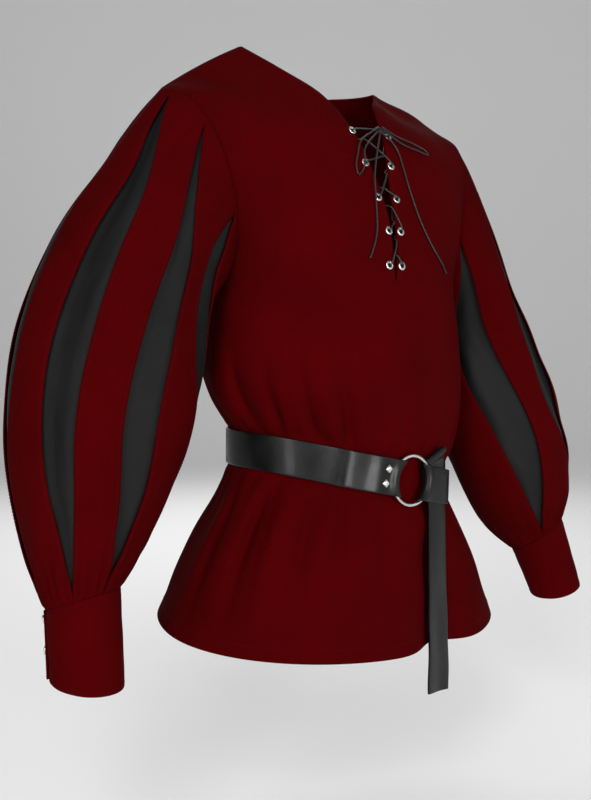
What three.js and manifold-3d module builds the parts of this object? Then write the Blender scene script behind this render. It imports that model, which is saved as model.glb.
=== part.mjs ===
// A laced medieval shirt with slashed balloon sleeves and a ring belt, held open as it is worn.
// Millimetres, +Z up. The wearer faces -Y, so the wearer's right is -X.
// The origin lies between the shoulders, level with the right neck point, where the wearer holds the shirt.
import * as THREE from "three";
import { mergeVertices } from "three/addons/utils/BufferGeometryUtils.js";
import Module from "manifold-3d";

const wasm = await Module();
wasm.setup();

// ---------- driving sizes ----------
const CLOTH = 1.6; // wall of a hemmed twill panel
const SEAM = 0.4; // gap between two panels that are sewn edge to edge
const LEATHER = 2.6; // belt leather
const BELT_WIDTH = 40;
const RING_WIRE = 2; // radius of the wire of the belt's ring
const EYELET_BORE = 2.3;
const EYELET_FLANGE = 5.2;
const CORD = 2; // diameter of the lace
const RIGHT = -1; // side of the body, the sign of x
const LEFT = 1;
const HALF_COLUMNS = 8; // mesh columns from the centre line to a side seam

const RED = "#470004";
const BLACK = "#17181a";
const LEATHER_BLACK = "#262628";
const STEEL = "#b9bcc0";
const LACE_BROWN = "#1d1410";

const radians = THREE.MathUtils.degToRad;
const clamp = THREE.MathUtils.clamp;
const mix = THREE.MathUtils.lerp;
const smooth = THREE.MathUtils.smoothstep;
const point = (x, y, z) => new THREE.Vector3(x, y, z);

// ---------- tables and curves ----------
// Rows of numbers under named columns.
function table(columns, rows) {
  const names = columns.split(" ");
  return rows.map((row) => Object.fromEntries(names.map((name, i) => [name, row[i]])));
}

// A smooth curve through the values that rows give in one column, along the column named by `along`.
function track(rows, column, along) {
  const at = rows.map((row) => row[along]);
  const value = rows.map((row) => row[column]);
  const last = at.length - 1;
  const slope = (i) => {
    const before = Math.max(i - 1, 0);
    const after = Math.min(i + 1, last);
    return (value[after] - value[before]) / (at[after] - at[before]);
  };
  return (x) => {
    let i = 0;
    while (i < last - 1 && x > at[i + 1]) i += 1;
    const width = at[i + 1] - at[i];
    const f = clamp((x - at[i]) / width, 0, 1);
    const g = 1 - f;
    return (
      value[i] * g * g * (1 + 2 * f) +
      value[i + 1] * f * f * (1 + 2 * g) +
      width * f * g * (slope(i) * g - slope(i + 1) * f)
    );
  };
}

// Every column of a table as such a curve, together: x => {column: value}.
function tracks(rows, along) {
  const names = Object.keys(rows[0]).filter((name) => name !== along);
  const curves = names.map((name) => [name, track(rows, name, along)]);
  return (x) => Object.fromEntries(curves.map(([name, curve]) => [name, curve(x)]));
}

// ---------- walls of cloth ----------
// A panel is a middle surface: points, and faces of three or four point numbers seen from outside.
class Panel {
  constructor() {
    this.points = [];
    this.faces = [];
    this.flatEdges = []; // rows of points that end square to an axis
  }

  add(p) {
    this.points.push(p);
    return this.points.length - 1;
  }

  // Joins rows of point numbers into quads; a quad that has lost a side becomes a triangle.
  skin(rows, skip = () => false) {
    for (let j = 0; j + 1 < rows.length; j += 1) {
      for (let i = 0; i + 1 < rows[j].length; i += 1) {
        if (skip(i, j)) continue;
        const ring = [rows[j][i], rows[j][i + 1], rows[j + 1][i + 1], rows[j + 1][i]];
        const face = ring.filter((v, k) => v !== ring[(k + 1) % ring.length]);
        if (face.length > 2) this.faces.push(face);
      }
    }
  }

  triangles() {
    return this.faces.flatMap((f) => (f.length === 4 ? [[f[0], f[1], f[2]], [f[0], f[2], f[3]]] : [f]));
  }

  ownNormals() {
    const normals = this.points.map(() => point(0, 0, 0));
    for (const [a, b, c] of this.triangles()) {
      const ab = this.points[b].clone().sub(this.points[a]);
      const ac = this.points[c].clone().sub(this.points[a]);
      const n = ab.cross(ac);
      for (const v of [a, b, c]) normals[v].add(n);
    }
    return normals;
  }

  // Directed edges that only one triangle has.
  rim() {
    const edges = new Map();
    for (const t of this.triangles()) {
      t.forEach((a, k) => edges.set(`${a},${t[(k + 1) % 3]}`, [a, t[(k + 1) % 3]]));
    }
    return [...edges.values()].filter(([a, b]) => !edges.has(`${b},${a}`));
  }
}

const placeKey = (p) => [p.x, p.y, p.z].map((v) => Math.round(v * 50)).join();

// Panels that meet share their normals, so their walls stay parallel along the seam.
function sharedNormals(panels) {
  const own = panels.map((panel) => panel.ownNormals());
  const sums = new Map();
  panels.forEach((panel, k) =>
    panel.points.forEach((p, i) => {
      const key = placeKey(p);
      if (!sums.has(key)) sums.set(key, point(0, 0, 0));
      sums.get(key).add(own[k][i].normalize());
    }),
  );
  return panels.map((panel) =>
    panel.points.map((p) => sums.get(placeKey(p)).clone().normalize()),
  );
}

// The closed wall of a panel: both skins, and a strip round every rim, drawn back by half a seam.
function wall(panel, normals, thickness = CLOTH, back = SEAM / 2) {
  for (const { ids, axis } of panel.flatEdges) {
    for (const i of ids) normals[i].addScaledVector(axis, -normals[i].dot(axis)).normalize();
  }
  const rim = panel.rim();
  const inward = new Map();
  for (const [a, b] of rim) {
    const along = panel.points[b].clone().sub(panel.points[a]).normalize();
    for (const v of [a, b]) {
      const into = normals[v].clone().cross(along).normalize();
      inward.set(v, (inward.get(v) ?? point(0, 0, 0)).add(into));
    }
  }
  const middle = panel.points.map((p, i) =>
    inward.has(i) ? p.clone().addScaledVector(inward.get(i).normalize(), back) : p,
  );
  const count = middle.length;
  const skinPoint = (i, sign) => middle[i].clone().addScaledVector(normals[i], (sign * thickness) / 2);
  const points = [...middle.keys()].map((i) => skinPoint(i, 1));
  points.push(...[...middle.keys()].map((i) => skinPoint(i, -1)));
  const triangles = [];
  for (const [a, b, c] of panel.triangles()) {
    triangles.push([a, b, c], [a + count, c + count, b + count]);
  }
  for (const [a, b] of rim) triangles.push([b, a, a + count], [b, a + count, b + count]);
  return shape(points, triangles);
}

function shape(points, triangles) {
  const geometry = new THREE.BufferGeometry();
  const position = new Float32Array(points.flatMap((p) => [p.x, p.y, p.z]));
  geometry.setAttribute("position", new THREE.BufferAttribute(position, 3));
  geometry.setIndex(triangles.flat());
  return geometry;
}

// ---------- booleans ----------
function solidOf(geometry) {
  const bare = geometry.clone();
  bare.deleteAttribute("normal");
  bare.deleteAttribute("uv");
  const merged = mergeVertices(bare, 1e-4);
  return new wasm.Manifold(
    new wasm.Mesh({
      numProp: 3,
      vertProperties: merged.attributes.position.array,
      triVerts: new Uint32Array(merged.index.array),
    }),
  );
}

function geometryOf(solid) {
  const mesh = solid.getMesh();
  const geometry = new THREE.BufferGeometry();
  geometry.setAttribute("position", new THREE.BufferAttribute(new Float32Array(mesh.vertProperties), 3));
  geometry.setIndex(new THREE.BufferAttribute(new Uint32Array(mesh.triVerts), 1));
  return geometry;
}

// ---------- the part ----------
const shirt = new THREE.Group();
const paint = (color, roughness, metalness = 0) =>
  new THREE.MeshStandardMaterial({ color, roughness, metalness });
const redCloth = paint(RED, 0.92);
const blackCloth = paint(BLACK, 0.8);
const leather = paint(LEATHER_BLACK, 0.45);
const steel = paint(STEEL, 0.25, 1);
const laceCord = paint(LACE_BROWN, 0.6);

function place(name, geometry, material) {
  const mesh = new THREE.Mesh(geometry, material);
  mesh.name = name;
  shirt.add(mesh);
}

// ---------- sleeves: rings from the armhole to the cuff ----------
// Each ring has its centre, the tilt of its plane (0 level, 90 facing sideways), its reach forwards,
// outwards and inwards, how far its front and back are scooped towards the body, its twist, and how far
// its front is pitched up.
const SLEEVE_COLUMNS = "t x y z tilt fore out in scoop twist pitch";
const SLEEVES = {
  [RIGHT]: table(SLEEVE_COLUMNS, [
    [0.0, 190, -5, -190, 78, 80, 122, 113, 18, 0, 0],
    [0.14, 226, -12, -236, 60, 86, 100, 92, 8, 0, 0],
    [0.3, 259, -20, -300, 36, 90, 103, 94, 0, 0, 0],
    [0.46, 287, -30, -368, 16, 92, 102, 98, 0, 0, 0],
    [0.62, 305, -42, -438, 2, 88, 95, 95, 0, 0, 0],
    [0.76, 321, -55, -500, -4, 78, 77, 82, 0, -2, 0],
    [0.89, 333, -68, -555, -6, 58, 55, 62, 0, -4, 0.12],
    [1.0, 339, -77, -600, -8, 33, 35, 35, 0, -6, 0.3],
  ]),
  [LEFT]: table(SLEEVE_COLUMNS, [
    [0.0, 190, -5, -190, 78, 80, 116, 113, 18, 0, 0],
    [0.14, 212, -10, -248, 62, 84, 96, 66, 8, -3, 0],
    [0.3, 233, -18, -318, 40, 86, 81, 63, 0, -4, 0],
    [0.46, 259, -28, -386, 25, 86, 84, 78, 0, 3, 0],
    [0.62, 283, -40, -450, 18, 84, 85, 86, 0, 12, 0],
    [0.76, 301, -53, -512, 18, 76, 82, 82, 0, 21, 0.05],
    [0.89, 316, -66, -570, 24, 58, 66, 66, 0, 28, 0.2],
    [1.0, 328, -78, -618, 27, 33, 36, 36, 0, 30, 0.45],
  ]),
};
const sleeveRing = {
  [RIGHT]: tracks(SLEEVES[RIGHT], "t"),
  [LEFT]: tracks(SLEEVES[LEFT], "t"),
};

// The neck opening hangs lower on the wearer's left.
function settle(p) {
  const near = Math.exp(-(((p.x - 100) / 55) ** 2)) * Math.exp(-(((p.y - 5) / 80) ** 2));
  p.z -= 26 * near * smooth(p.z, -150, -25);
  return p;
}

// The point of a sleeve at t along it and at an angle round it: 0 in front, 90 outside or on top.
function sleevePoint(side, t, degrees) {
  const r = sleeveRing[side](t);
  const tilt = radians(r.tilt);
  const round = radians(degrees + r.twist);
  const out = (Math.sin(round) > 0 ? r.out : r.in) * Math.sin(round);
  const scoop = r.scoop * Math.abs(Math.cos(round));
  return settle(
    point(
      side * (r.x + out * Math.cos(tilt) - scoop),
      r.y - r.fore * Math.cos(round),
      r.z + out * Math.sin(tilt) + r.pitch * r.fore * Math.cos(round),
    ),
  );
}

// The direction square to a sleeve's ring.
function sleeveAxis(side, t) {
  const { tilt, pitch } = sleeveRing[side](t);
  const outward = point(side * Math.cos(radians(tilt)), 0, Math.sin(radians(tilt)));
  return outward.cross(point(0, -1, pitch)).normalize();
}

// Angles round the armhole where the body panels and the sleeve have their points.
const ARMHOLE = [
  -90, -70, -50, -31, -12, 5, 23, 42, 60, 78, 90, 102, 115, 125, 142, 160, 180, 200, 220, 240, 256,
];

// ---------- body panels: level rows up to the armpits, then rows that end on the armhole ----------
// The line of the belt's middle round the waist: angle from the centre front, towards the wearer's left.
const BELT_LEVEL = -490;
const BELT_LINE = table("angle z", [
  [-180, -474],
  [-110, -472],
  [-70, -474],
  [-45, -482],
  [-25, -492],
  [0, -506],
  [20, -518],
  [40, -527],
  [60, -520],
  [90, -498],
  [130, -482],
  [180, -474],
]);
const beltLine = track(BELT_LINE, "z", "angle");

// Rings of the body, hem first: height, centre, reach to the side, front and back, how far the ring
// follows the belt line, how it drops towards the wearer's left and the front, the power that its sine
// and cosine are raised to (1 an ellipse, less is squarer), and mesh rows above it.
const BODY = table("z x y side front back follow drop dip power steps", [
  [-680, 6, -37, 231, 132, 150, 0, 0.063, 0.16, 1, 3],
  [-600, 7, -37, 197, 119, 137, 0.2, 0.04, 0.06, 1, 2],
  [-545, 8, -37, 164, 110, 116, 0.7, 0, 0, 1, 2],
  [-511, 8, -37, 143, 103, 101, 1, 0, 0, 1, 1],
  [-490, 8, -37, 143, 103, 101, 1, 0, 0, 1, 1],
  [-469, 8, -37, 143, 103, 101, 1, 0, 0, 1, 1],
  [-450, 8, -37, 157, 116, 112, 0.9, 0, 0, 1, 1],
  [-425, 8, -36, 170, 122, 119, 0.6, 0, 0, 1, 1],
  [-395, 6, -34, 176, 121, 123, 0.3, 0, 0, 0.97, 1],
  [-350, 4, -32, 173, 117, 126, 0, 0, 0, 0.9, 1],
  [-302, 2, -30, 170, 118, 127, 0, 0, 0, 0.78, 1],
]);

// Long soft folds of the body: the angle from the centre front at the belt and at the foot, half width
// in degrees, depth, and the heights where the fold is deepest and where it is gone.
const FOLDS = table("angle foot width depth deep gone", [
  [-24, -24, 5, 5, -455, -330],
  [-8, -8, 5, 4, -455, -350],
  [-70, -70, 9, 5, -440, -350],
  [17, 17, 20, 9, -462, -395],
  [35, 35, 8, 4, -455, -360],
  [70, 70, 9, 5, -450, -350],
  [120, 120, 10, 5, -450, -340],
  [160, 160, 9, 5, -450, -330],
  [-160, -160, 9, 5, -450, -330],
  [-120, -120, 10, 5, -450, -340],
  [-62, -62, 7, 5, -545, -670],
  [-38, -38, 7, 5, -545, -650],
  [-14, -14, 7, 4, -545, -620],
  [25, 15, 10.5, 22, -640, -900],
  [60, 60, 9, 5, -545, -660],
  [100, 100, 9, 6, -560, -690],
  [140, 140, 9, 6, -560, -690],
  [180, 180, 9, 6, -560, -690],
  [-140, -140, 9, 6, -560, -690],
  [-100, -100, 9, 6, -560, -690],
]);

function foldDepth(angle, z) {
  return FOLDS.reduce((sum, f) => {
    const line = mix(f.angle, f.foot, clamp((-511 - z) / 170, 0, 1));
    const away = Math.abs(((angle - line + 900) % 360) - 180) / f.width;
    if (away > 2.5) return sum;
    const start = f.deep > f.gone ? -511 : -469;
    const rise = clamp((z - start) / (f.deep - start), 0, 1);
    const fade = clamp((f.gone - z) / (f.gone - f.deep), 0, 1);
    return sum + f.depth * Math.exp(-away * away) * smooth(rise, 0, 1) * smooth(fade, 0, 1);
  }, 0);
}

// A point of a ring of the body at an angle from the centre front, set out by `out`.
function ringPoint(ring, angle, out = 0) {
  const round = radians(angle);
  const deep = Math.cos(round) > 0 ? ring.front : ring.back;
  const reach = out - foldDepth(angle, ring.z);
  const squared = (v) => Math.sign(v) * Math.abs(v) ** ring.power;
  const x = ring.x + (ring.side + reach) * squared(Math.sin(round));
  const y = ring.y - (deep + reach) * squared(Math.cos(round));
  const turned = ((((angle + 180) % 360) + 360) % 360) - 180;
  const sag = ring.follow * (beltLine(turned) - BELT_LEVEL) - ring.drop * x + ring.dip * (y - ring.y);
  return point(x, y, ring.z + sag);
}

// Above the armpits each row runs from an inner edge, the centre line or the neckline, to the armhole.
// `at` is the armhole angle that the row ends on, x half the opening there, shift how far its middle
// hangs towards the wearer's left, and puff is how far the row bows out between its ends.
const EDGE_COLUMNS = "at x shift y z puff";
const FRONT_EDGE = table(EDGE_COLUMNS, [
  [-70, 0, 3, -147.5, -284, 47],
  [-50, 2.8, 5, -146, -264, 38],
  [-15, 3, 10.5, -136, -221, 23],
  [15, 7.5, 10, -120, -174, 15],
  [45, 19, 9, -97, -114, 10],
  [65, 38, 3, -62, -62, 7],
  [78, 72, 0, -28, -30, 3],
  [90, 104, 0, 10, 0, 0],
]);
const BACK_EDGE = table(EDGE_COLUMNS, [
  [225, 0, 0, 100, -258, 20],
  [195, 0, 0, 101, -205, 22],
  [166, 0, 0, 97, -145, 16],
  [138, 0, 0, 82, -80, 12],
  [125, 0, 0, 66, -40, 9],
  [115, 42, 0, 58, -26, 6],
  [102, 84, 0, 36, -8, 3],
  [90, 104, 0, 10, 0, 0],
]);
const SHOULDER_RISE = 3; // how far the shoulder seam bows up between the neck and the armhole

// A panel of the body. facing is 1 for the front and -1 for the back. The rows below `split` are whole,
// and those above it are open along the centre.
function bodyPanel(edge, facing, stations, split) {
  const middle = facing > 0 ? 0 : 180;
  const angleAt = (side, u) => middle + facing * side * 90 * u;
  const bow = (u) => (Math.cos(radians(90 * u)) + Math.sin(radians(90 * u)) - 1) / (Math.SQRT2 - 1);
  const height = (degrees) => (BODY.length + Math.abs(degrees - stations[0]) / 30) - 1;

  // A column's control points, each with its height along the panel.
  function control(side, u) {
    const below = BODY.map((ring, k) => ({ s: k, p: ringPoint(ring, angleAt(side, u)) }));
    const top = below[below.length - 1];
    top.p.addScaledVector(sleevePoint(side, 0, -90).sub(ringPoint(BODY[BODY.length - 1], angleAt(side, 1))), u ** 3);
    const above = edge.map((row) => {
      const q = clamp(Math.abs(row.at - stations[0]) / 180, 0, 1);
      const along = mix(Math.sin(radians(90 * u)), u, q);
      const p = point(side * row.x + row.shift, row.y, row.z).lerp(sleevePoint(side, 0, row.at), along);
      p.y -= facing * row.puff * bow(u);
      if (row.at === 90) p.z += SHOULDER_RISE * 4 * u * (1 - u);
      return { s: height(row.at), p };
    });
    const rows = [...below, ...above].map(({ s, p }) => ({ s, x: p.x, y: p.y, z: p.z }));
    return tracks(rows, "s");
  }

  const levels = [];
  BODY.slice(0, -1).forEach((ring, k) => {
    for (let j = 0; j < ring.steps; j += 1) levels.push({ s: k + j / ring.steps });
  });
  for (const at of stations) levels.push({ s: height(at), at });

  const panel = new Panel();
  const splitRow = levels.findIndex((level) => level.at === split);
  const columns = [...Array(HALF_COLUMNS + 1).keys()].map((i) => i / HALF_COLUMNS);
  const half = (side) => {
    const curves = columns.map((u) => control(side, u));
    return levels.map(({ s, at }) => {
      const row = curves.map((curve) => {
        const { x, y, z } = curve(s);
        return point(x, y, z);
      });
      if (at !== undefined) {
        row.forEach(settle);
        const miss = sleevePoint(side, 0, at).sub(row[HALF_COLUMNS]);
        row.forEach((p, i) => p.addScaledVector(miss, columns[i] ** 3));
      }
      return row;
    });
  };
  const ids = { [RIGHT]: half(RIGHT), [LEFT]: half(LEFT) };
  for (const side of [RIGHT, LEFT]) {
    ids[side] = ids[side].map((row, j) =>
      row.map((p, i) => (side === LEFT && i === 0 && j <= splitRow ? ids[RIGHT][j][0] : panel.add(p))),
    );
  }
  for (const side of [RIGHT, LEFT]) {
    const outward = side * facing > 0;
    panel.skin(ids[side].map((row) => (outward ? row : [...row].reverse())));
  }
  return panel;
}

const frontStations = ARMHOLE.filter((at) => at <= 90);
const backStations = [270, ...ARMHOLE.filter((at) => at >= 90).reverse()];
const frontPanel = bodyPanel(FRONT_EDGE, 1, frontStations, -70);
const backPanel = bodyPanel(BACK_EDGE, -1, backStations, 125);

// ---------- slashed sleeves ----------
// Each slash: the armhole angle where it starts, its angle half way down and at the cuff, its widest
// gap, and where along the sleeve it is widest.
const SLASHES = table("name top middle cuff width widest", [
  ["inner_front", -12, -44, -66, 58, 0.55],
  ["front", 42, 4, -5, 46, 0.55],
  ["outer_front", 78, 49, 43, 43, 0.45],
  ["outer_back", 115, 106, 111, 46, 0.45],
  ["back", 180, 164, 170, 48, 0.5],
  ["inner_back", 240, 235, 232, 48, 0.5],
]);
const SLEEVE_ROWS = 13;
const SLASH_TOP = 1; // mesh row of a slash's upper point
const SLASH_END = SLEEVE_ROWS - 1; // mesh row of its lower point
const UNDERLAP = 3; // how far a gore lies under the edges of its slash
const GORE_DROP = 2.9; // how far a gore's edges lie below the red cloth's middle

const SLASH_RANGE = [0.015, 0.98]; // where the slashes start and end along the sleeve

const rowAt = (j) => {
  if (j < SLASH_TOP) return 0;
  if (j > SLASH_END) return 1;
  const even = (j - SLASH_TOP) / (SLASH_END - SLASH_TOP);
  return mix(...SLASH_RANGE, mix(even, Math.sin(radians(90 * even)), 0.12));
};

function slashCentre(slash, t) {
  return track(
    [
      { t: 0, a: slash.top },
      { t: 0.22, a: mix(slash.top, slash.middle, 0.88) },
      { t: 0.62, a: slash.middle },
      { t: 1, a: slash.cuff },
    ],
    "a",
    "t",
  )(t);
}

function slashWidth(slash, t) {
  const first = rowAt(SLASH_TOP);
  const last = rowAt(SLASH_END);
  const f = clamp((t - first) / (last - first), 0, 1);
  const bent = f < slash.widest ? (0.5 * f) / slash.widest : 1 - (0.5 * (1 - f)) / (1 - slash.widest);
  return slash.width * Math.sin(Math.PI * bent) ** 1.2;
}

// Degrees round a sleeve for a length in mm along its ring.
function degreesFor(side, t, angle, length) {
  const step = 2;
  const chord = sleevePoint(side, t, angle + step).distanceTo(sleevePoint(side, t, angle - step));
  return (length * 2 * step) / chord;
}

function slashEdges(side, slash, t) {
  const centre = slashCentre(slash, t);
  const half = degreesFor(side, t, centre, slashWidth(slash, t) / 2);
  return { centre, half };
}

function sleevePanel(side) {
  const panel = new Panel();
  const tops = SLASHES.map((slash) => slash.top);
  const rows = [];
  const skipped = new Set();
  for (let j = 0; j <= SLEEVE_ROWS; j += 1) {
    const t = rowAt(j);
    const open = j > SLASH_TOP && j < SLASH_END;
    const row = [];
    SLASHES.forEach((slash, k) => {
      const here = slashEdges(side, slash, t);
      const next = slashEdges(side, SLASHES[(k + 1) % SLASHES.length], t);
      const nextTop = k + 1 < tops.length ? tops[k + 1] : tops[0] + 360;
      const between = ARMHOLE.map((a) => (a < tops[0] ? a + 360 : a))
        .filter((a) => a > slash.top && a < nextTop)
        .sort((a, b) => a - b);
      const start = here.centre + (open ? here.half : 0);
      const end = next.centre - (open ? next.half : 0) + (k + 1 < tops.length ? 0 : 360);
      const left = panel.add(sleevePoint(side, t, here.centre - (open ? here.half : 0)));
      const right = open ? panel.add(sleevePoint(side, t, start)) : left;
      skipped.add(row.length);
      row.push(left, right);
      between.forEach((a, n) => {
        const even = mix(start, end, (n + 1) / (between.length + 1));
        const angle = mix(a, even, smooth(t, 0, 0.2));
        row.push(panel.add(sleevePoint(side, t, j === 0 ? a : angle)));
      });
    });
    row.push(row[0]);
    rows.push(row);
  }
  panel.skin(side === LEFT ? rows.map((row) => [...row].reverse()) : rows, (i) =>
    skipped.has(side === LEFT ? rows[0].length - 2 - i : i),
  );
  panel.flatEdges.push({ ids: [...new Set(rows[SLEEVE_ROWS])], axis: sleeveAxis(side, 1) });
  return panel;
}

// A black gore lies inside its slash: its edges under the red cloth, its middle pleated.
const PLEAT = table("across lift", [
  [-1, 0],
  [-0.35, 2.2],
  [0.3, -3.5],
  [1, 0],
]);

function gorePanel(side, slash) {
  const panel = new Panel();
  const rows = [];
  for (let j = SLASH_TOP; j <= SLASH_END; j += 1) {
    const t = rowAt(j);
    const { centre, half } = slashEdges(side, slash, t);
    const lap = degreesFor(side, t, centre, UNDERLAP);
    const open = slashWidth(slash, t) / slash.width;
    rows.push(
      PLEAT.map(({ across, lift }) => {
        const angle = centre + across * (half + lap);
        const p = sleevePoint(side, t, angle);
        const round = sleevePoint(side, t, angle + 1).sub(sleevePoint(side, t, angle - 1));
        const down = sleevePoint(side, Math.min(t + 0.01, 1), angle).sub(sleevePoint(side, t - 0.01, angle));
        const out = down.cross(round).normalize().multiplyScalar(side);
        return panel.add(p.addScaledVector(out, lift * open - GORE_DROP));
      }),
    );
  }
  panel.skin(side === LEFT ? rows.map((row) => [...row].reverse()) : rows);
  return panel;
}

const sleevePanels = { [RIGHT]: sleevePanel(RIGHT), [LEFT]: sleevePanel(LEFT) };
const bodyParts = [frontPanel, backPanel, sleevePanels[RIGHT], sleevePanels[LEFT]];
const [frontNormals, backNormals, rightNormals, leftNormals] = sharedNormals(bodyParts);

const front = solidOf(wall(frontPanel, frontNormals));
place("back", wall(backPanel, backNormals), redCloth);

// At the armpit the sleeve folds sharply away from the body: it is trimmed there to clear it.
const ARMPIT = { at: point(170, -8, -298), size: [60, 90, 44] };
const clearance = [
  wall(frontPanel, frontNormals),
  wall(backPanel, backNormals),
].map(solidOf);

function trimmed(geometry, side) {
  const { at, size } = ARMPIT;
  const block = solidOf(new THREE.BoxGeometry(...size).translate(side * at.x, at.y, at.z));
  const shifts = [[-SEAM, 0, 0], [0, 0, 0], [SEAM, 0, 0]];
  const cut = clearance.reduce(
    (rest, body) => shifts.reduce((left, by) => left.subtract(body.intersect(block).translate(by)), rest),
    solidOf(geometry),
  );
  const pieces = cut.decompose().sort((a, b) => b.volume() - a.volume());
  return geometryOf(pieces[0]);
}
place("sleeve_right", trimmed(wall(sleevePanels[RIGHT], rightNormals), RIGHT), redCloth);
place("sleeve_left", trimmed(wall(sleevePanels[LEFT], leftNormals), LEFT), redCloth);
const SIDES = [[RIGHT, "right"], [LEFT, "left"]];
for (const [side, word] of SIDES) {
  for (const slash of SLASHES) {
    const gore = gorePanel(side, slash);
    place(`gore_${word}_${slash.name}`, wall(gore, sharedNormals([gore])[0], CLOTH, 0), blackCloth);
  }
}

// ---------- cuffs: bands that lap over themselves and close with two press studs ----------
const CUFF_WALL = 2.4; // two plies and their interfacing
const CUFF_LAP = { start: 112, degrees: 38, step: 16.6 }; // where the band starts, and its overlap
// How the cuff's lower edge lies from its upper one: the fall, and its slope along x and y.
const CUFF_FOOT = {
  [RIGHT]: { fall: point(-2, -13, -77), slopeX: -0.12, slopeY: 0.14 },
  [LEFT]: { fall: point(25, -12, -77), slopeX: 0.3, slopeY: 0 },
};
const CUFF_ROWS = 2;
const STUD_DOWN = [0.14, 0.6]; // places of the studs along the cuff's height

// A point of the cuff's band, turned on by some degrees from its outer end. It winds inwards.
function cuffPoint(side, turn, down, lift = 0) {
  const end = sleeveRing[side](1);
  const centre = point(side * end.x, end.y, end.z);
  const spoke = sleevePoint(side, 1, CUFF_LAP.start + turn - end.twist).sub(centre);
  const wind = CUFF_WALL / 2 + 0.4 - ((CUFF_WALL + 0.5) * turn) / 360;
  spoke.setLength(spoke.length() + wind + lift);
  const foot = CUFF_FOOT[side];
  spoke.z = mix(spoke.z, foot.slopeX * spoke.x + foot.slopeY * spoke.y, down);
  return centre.add(spoke).addScaledVector(foot.fall, down);
}

function cuffPanel(side) {
  const panel = new Panel();
  const turns = Math.round((360 + CUFF_LAP.degrees) / CUFF_LAP.step);
  const rows = [...Array(CUFF_ROWS + 1).keys()].map((j) =>
    [...Array(turns + 1).keys()].map((i) => panel.add(cuffPoint(side, i * CUFF_LAP.step, j / CUFF_ROWS))),
  );
  panel.skin(rows);
  panel.flatEdges.push({ ids: rows[0], axis: sleeveAxis(side, 1) });
  return panel;
}

const turned = (outline, segments) =>
  new THREE.LatheGeometry(outline.map(([r, y]) => new THREE.Vector2(r, y)), segments);

// Places a piece whose own axis is Y at a point, with that axis along a direction.
function stand(geometry, at, axis) {
  const turn = new THREE.Quaternion().setFromUnitVectors(point(0, 1, 0), axis.clone().normalize());
  return geometry.applyQuaternion(turn).translate(at.x, at.y, at.z);
}

const pressStud = () =>
  turned([[0, 0], [4.6, 0], [4.3, 1.5], [3, 2], [2.2, 1.4], [0, 1.3]], 10);

for (const [side, word] of SIDES) {
  const cuff = cuffPanel(side);
  place(`cuff_${word}`, wall(cuff, sharedNormals([cuff])[0], CUFF_WALL), redCloth);
  STUD_DOWN.forEach((down, k) => {
    const base = cuffPoint(side, 10, down, CUFF_WALL / 2 + 0.6);
    const axis = cuffPoint(side, 10, down, 5).sub(cuffPoint(side, 10, down));
    place(`cuff_stud_${word}_${k + 1}`, stand(pressStud(), base, axis), steel);
  });
}

// ---------- eyelets and the holes that they sit in ----------
const EYELETS = table("right left z", [
  [-16, 39, -107],
  [-10.5, 28.5, -146],
  [-4, 24, -187],
  [1.2, 19.2, -226],
  [-4.6, 14, -266],
]);
const EYELET_HOLE = 3.3;
const EYELET_GRIP = CLOTH / 2 + 0.5; // from the cloth's middle to a flange

const frontMesh = new THREE.Mesh(geometryOf(front), redCloth);
const caster = new THREE.Raycaster();

// The cloth's middle and its outward direction where the front is met at x and z.
function onFront(x, z, lift = 0) {
  caster.set(point(x, -400, z), point(0, 1, 0));
  const [hit] = caster.intersectObject(frontMesh);
  const out = hit.face.normal.clone();
  for (const [dx, dz] of [[-3, 0], [3, 0], [0, -3], [0, 3]]) {
    caster.set(point(x + dx, -400, z + dz), point(0, 1, 0));
    for (const near of caster.intersectObject(frontMesh).slice(0, 1)) out.add(near.face.normal);
  }
  out.normalize();
  return { at: hit.point.clone().addScaledVector(out, lift - CLOTH / 2), out };
}

const eyeletSeats = EYELETS.map((row) => ({
  right: onFront(row.right, row.z),
  left: onFront(row.left, row.z),
}));

const eyeletRing = () =>
  turned(
    [
      [EYELET_BORE, -EYELET_GRIP - 0.5],
      [EYELET_HOLE - 0.4, -EYELET_GRIP - 0.5],
      [EYELET_HOLE - 0.4, EYELET_GRIP],
      [EYELET_FLANGE, EYELET_GRIP],
      [EYELET_BORE, EYELET_GRIP + 0.9],
      [EYELET_BORE, -EYELET_GRIP - 0.5],
    ],
    10,
  );

let cutFront = front;
eyeletSeats.forEach((seats, k) => {
  for (const word of ["right", "left"]) {
    const { at, out } = seats[word];
    const punch = new THREE.CylinderGeometry(EYELET_HOLE, EYELET_HOLE, 8, 8);
    cutFront = cutFront.subtract(solidOf(stand(punch, at, out)));
    place(`eyelet_${word}_${k + 1}`, stand(eyeletRing(), at, out), steel);
  }
});
place("front", geometryOf(cutFront), redCloth);

// ---------- belt ----------
const BELT_RING = BODY.find((ring) => ring.z === BELT_LEVEL);
const COLUMN = 90 / HALF_COLUMNS; // degrees between two columns of the body
const MM_PER_DEGREE = 2.5; // along the belt, near the ring
const WIRE_NEAR = { angle: -3.3, out: 8.6 }; // where the ring's wire runs inside the two folds
const WIRE_FAR = { angle: 17.2, out: 12.6 };
const FOLD = RING_WIRE + LEATHER / 2 + 2; // radius of a fold round the wire
const PLY = LEATHER + 1; // from one ply to the next
const ON_CLOTH = CLOTH / 2 + LEATHER / 2 + 1.3; // from the cloth's middle to the leather's middle

// A point of the belt; rise is measured square to the belt's own sloping line.
function beltPoint(angle, out, rise = 0) {
  const near = ((((angle + 180) % 360) + 360) % 360) - 180;
  const slope = (beltLine(near + 1) - beltLine(near - 1)) / (2 * MM_PER_DEGREE);
  const p = ringPoint(BELT_RING, angle - (rise * slope) / MM_PER_DEGREE, out);
  return point(p.x, p.y, beltLine(near) + rise);
}

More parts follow.
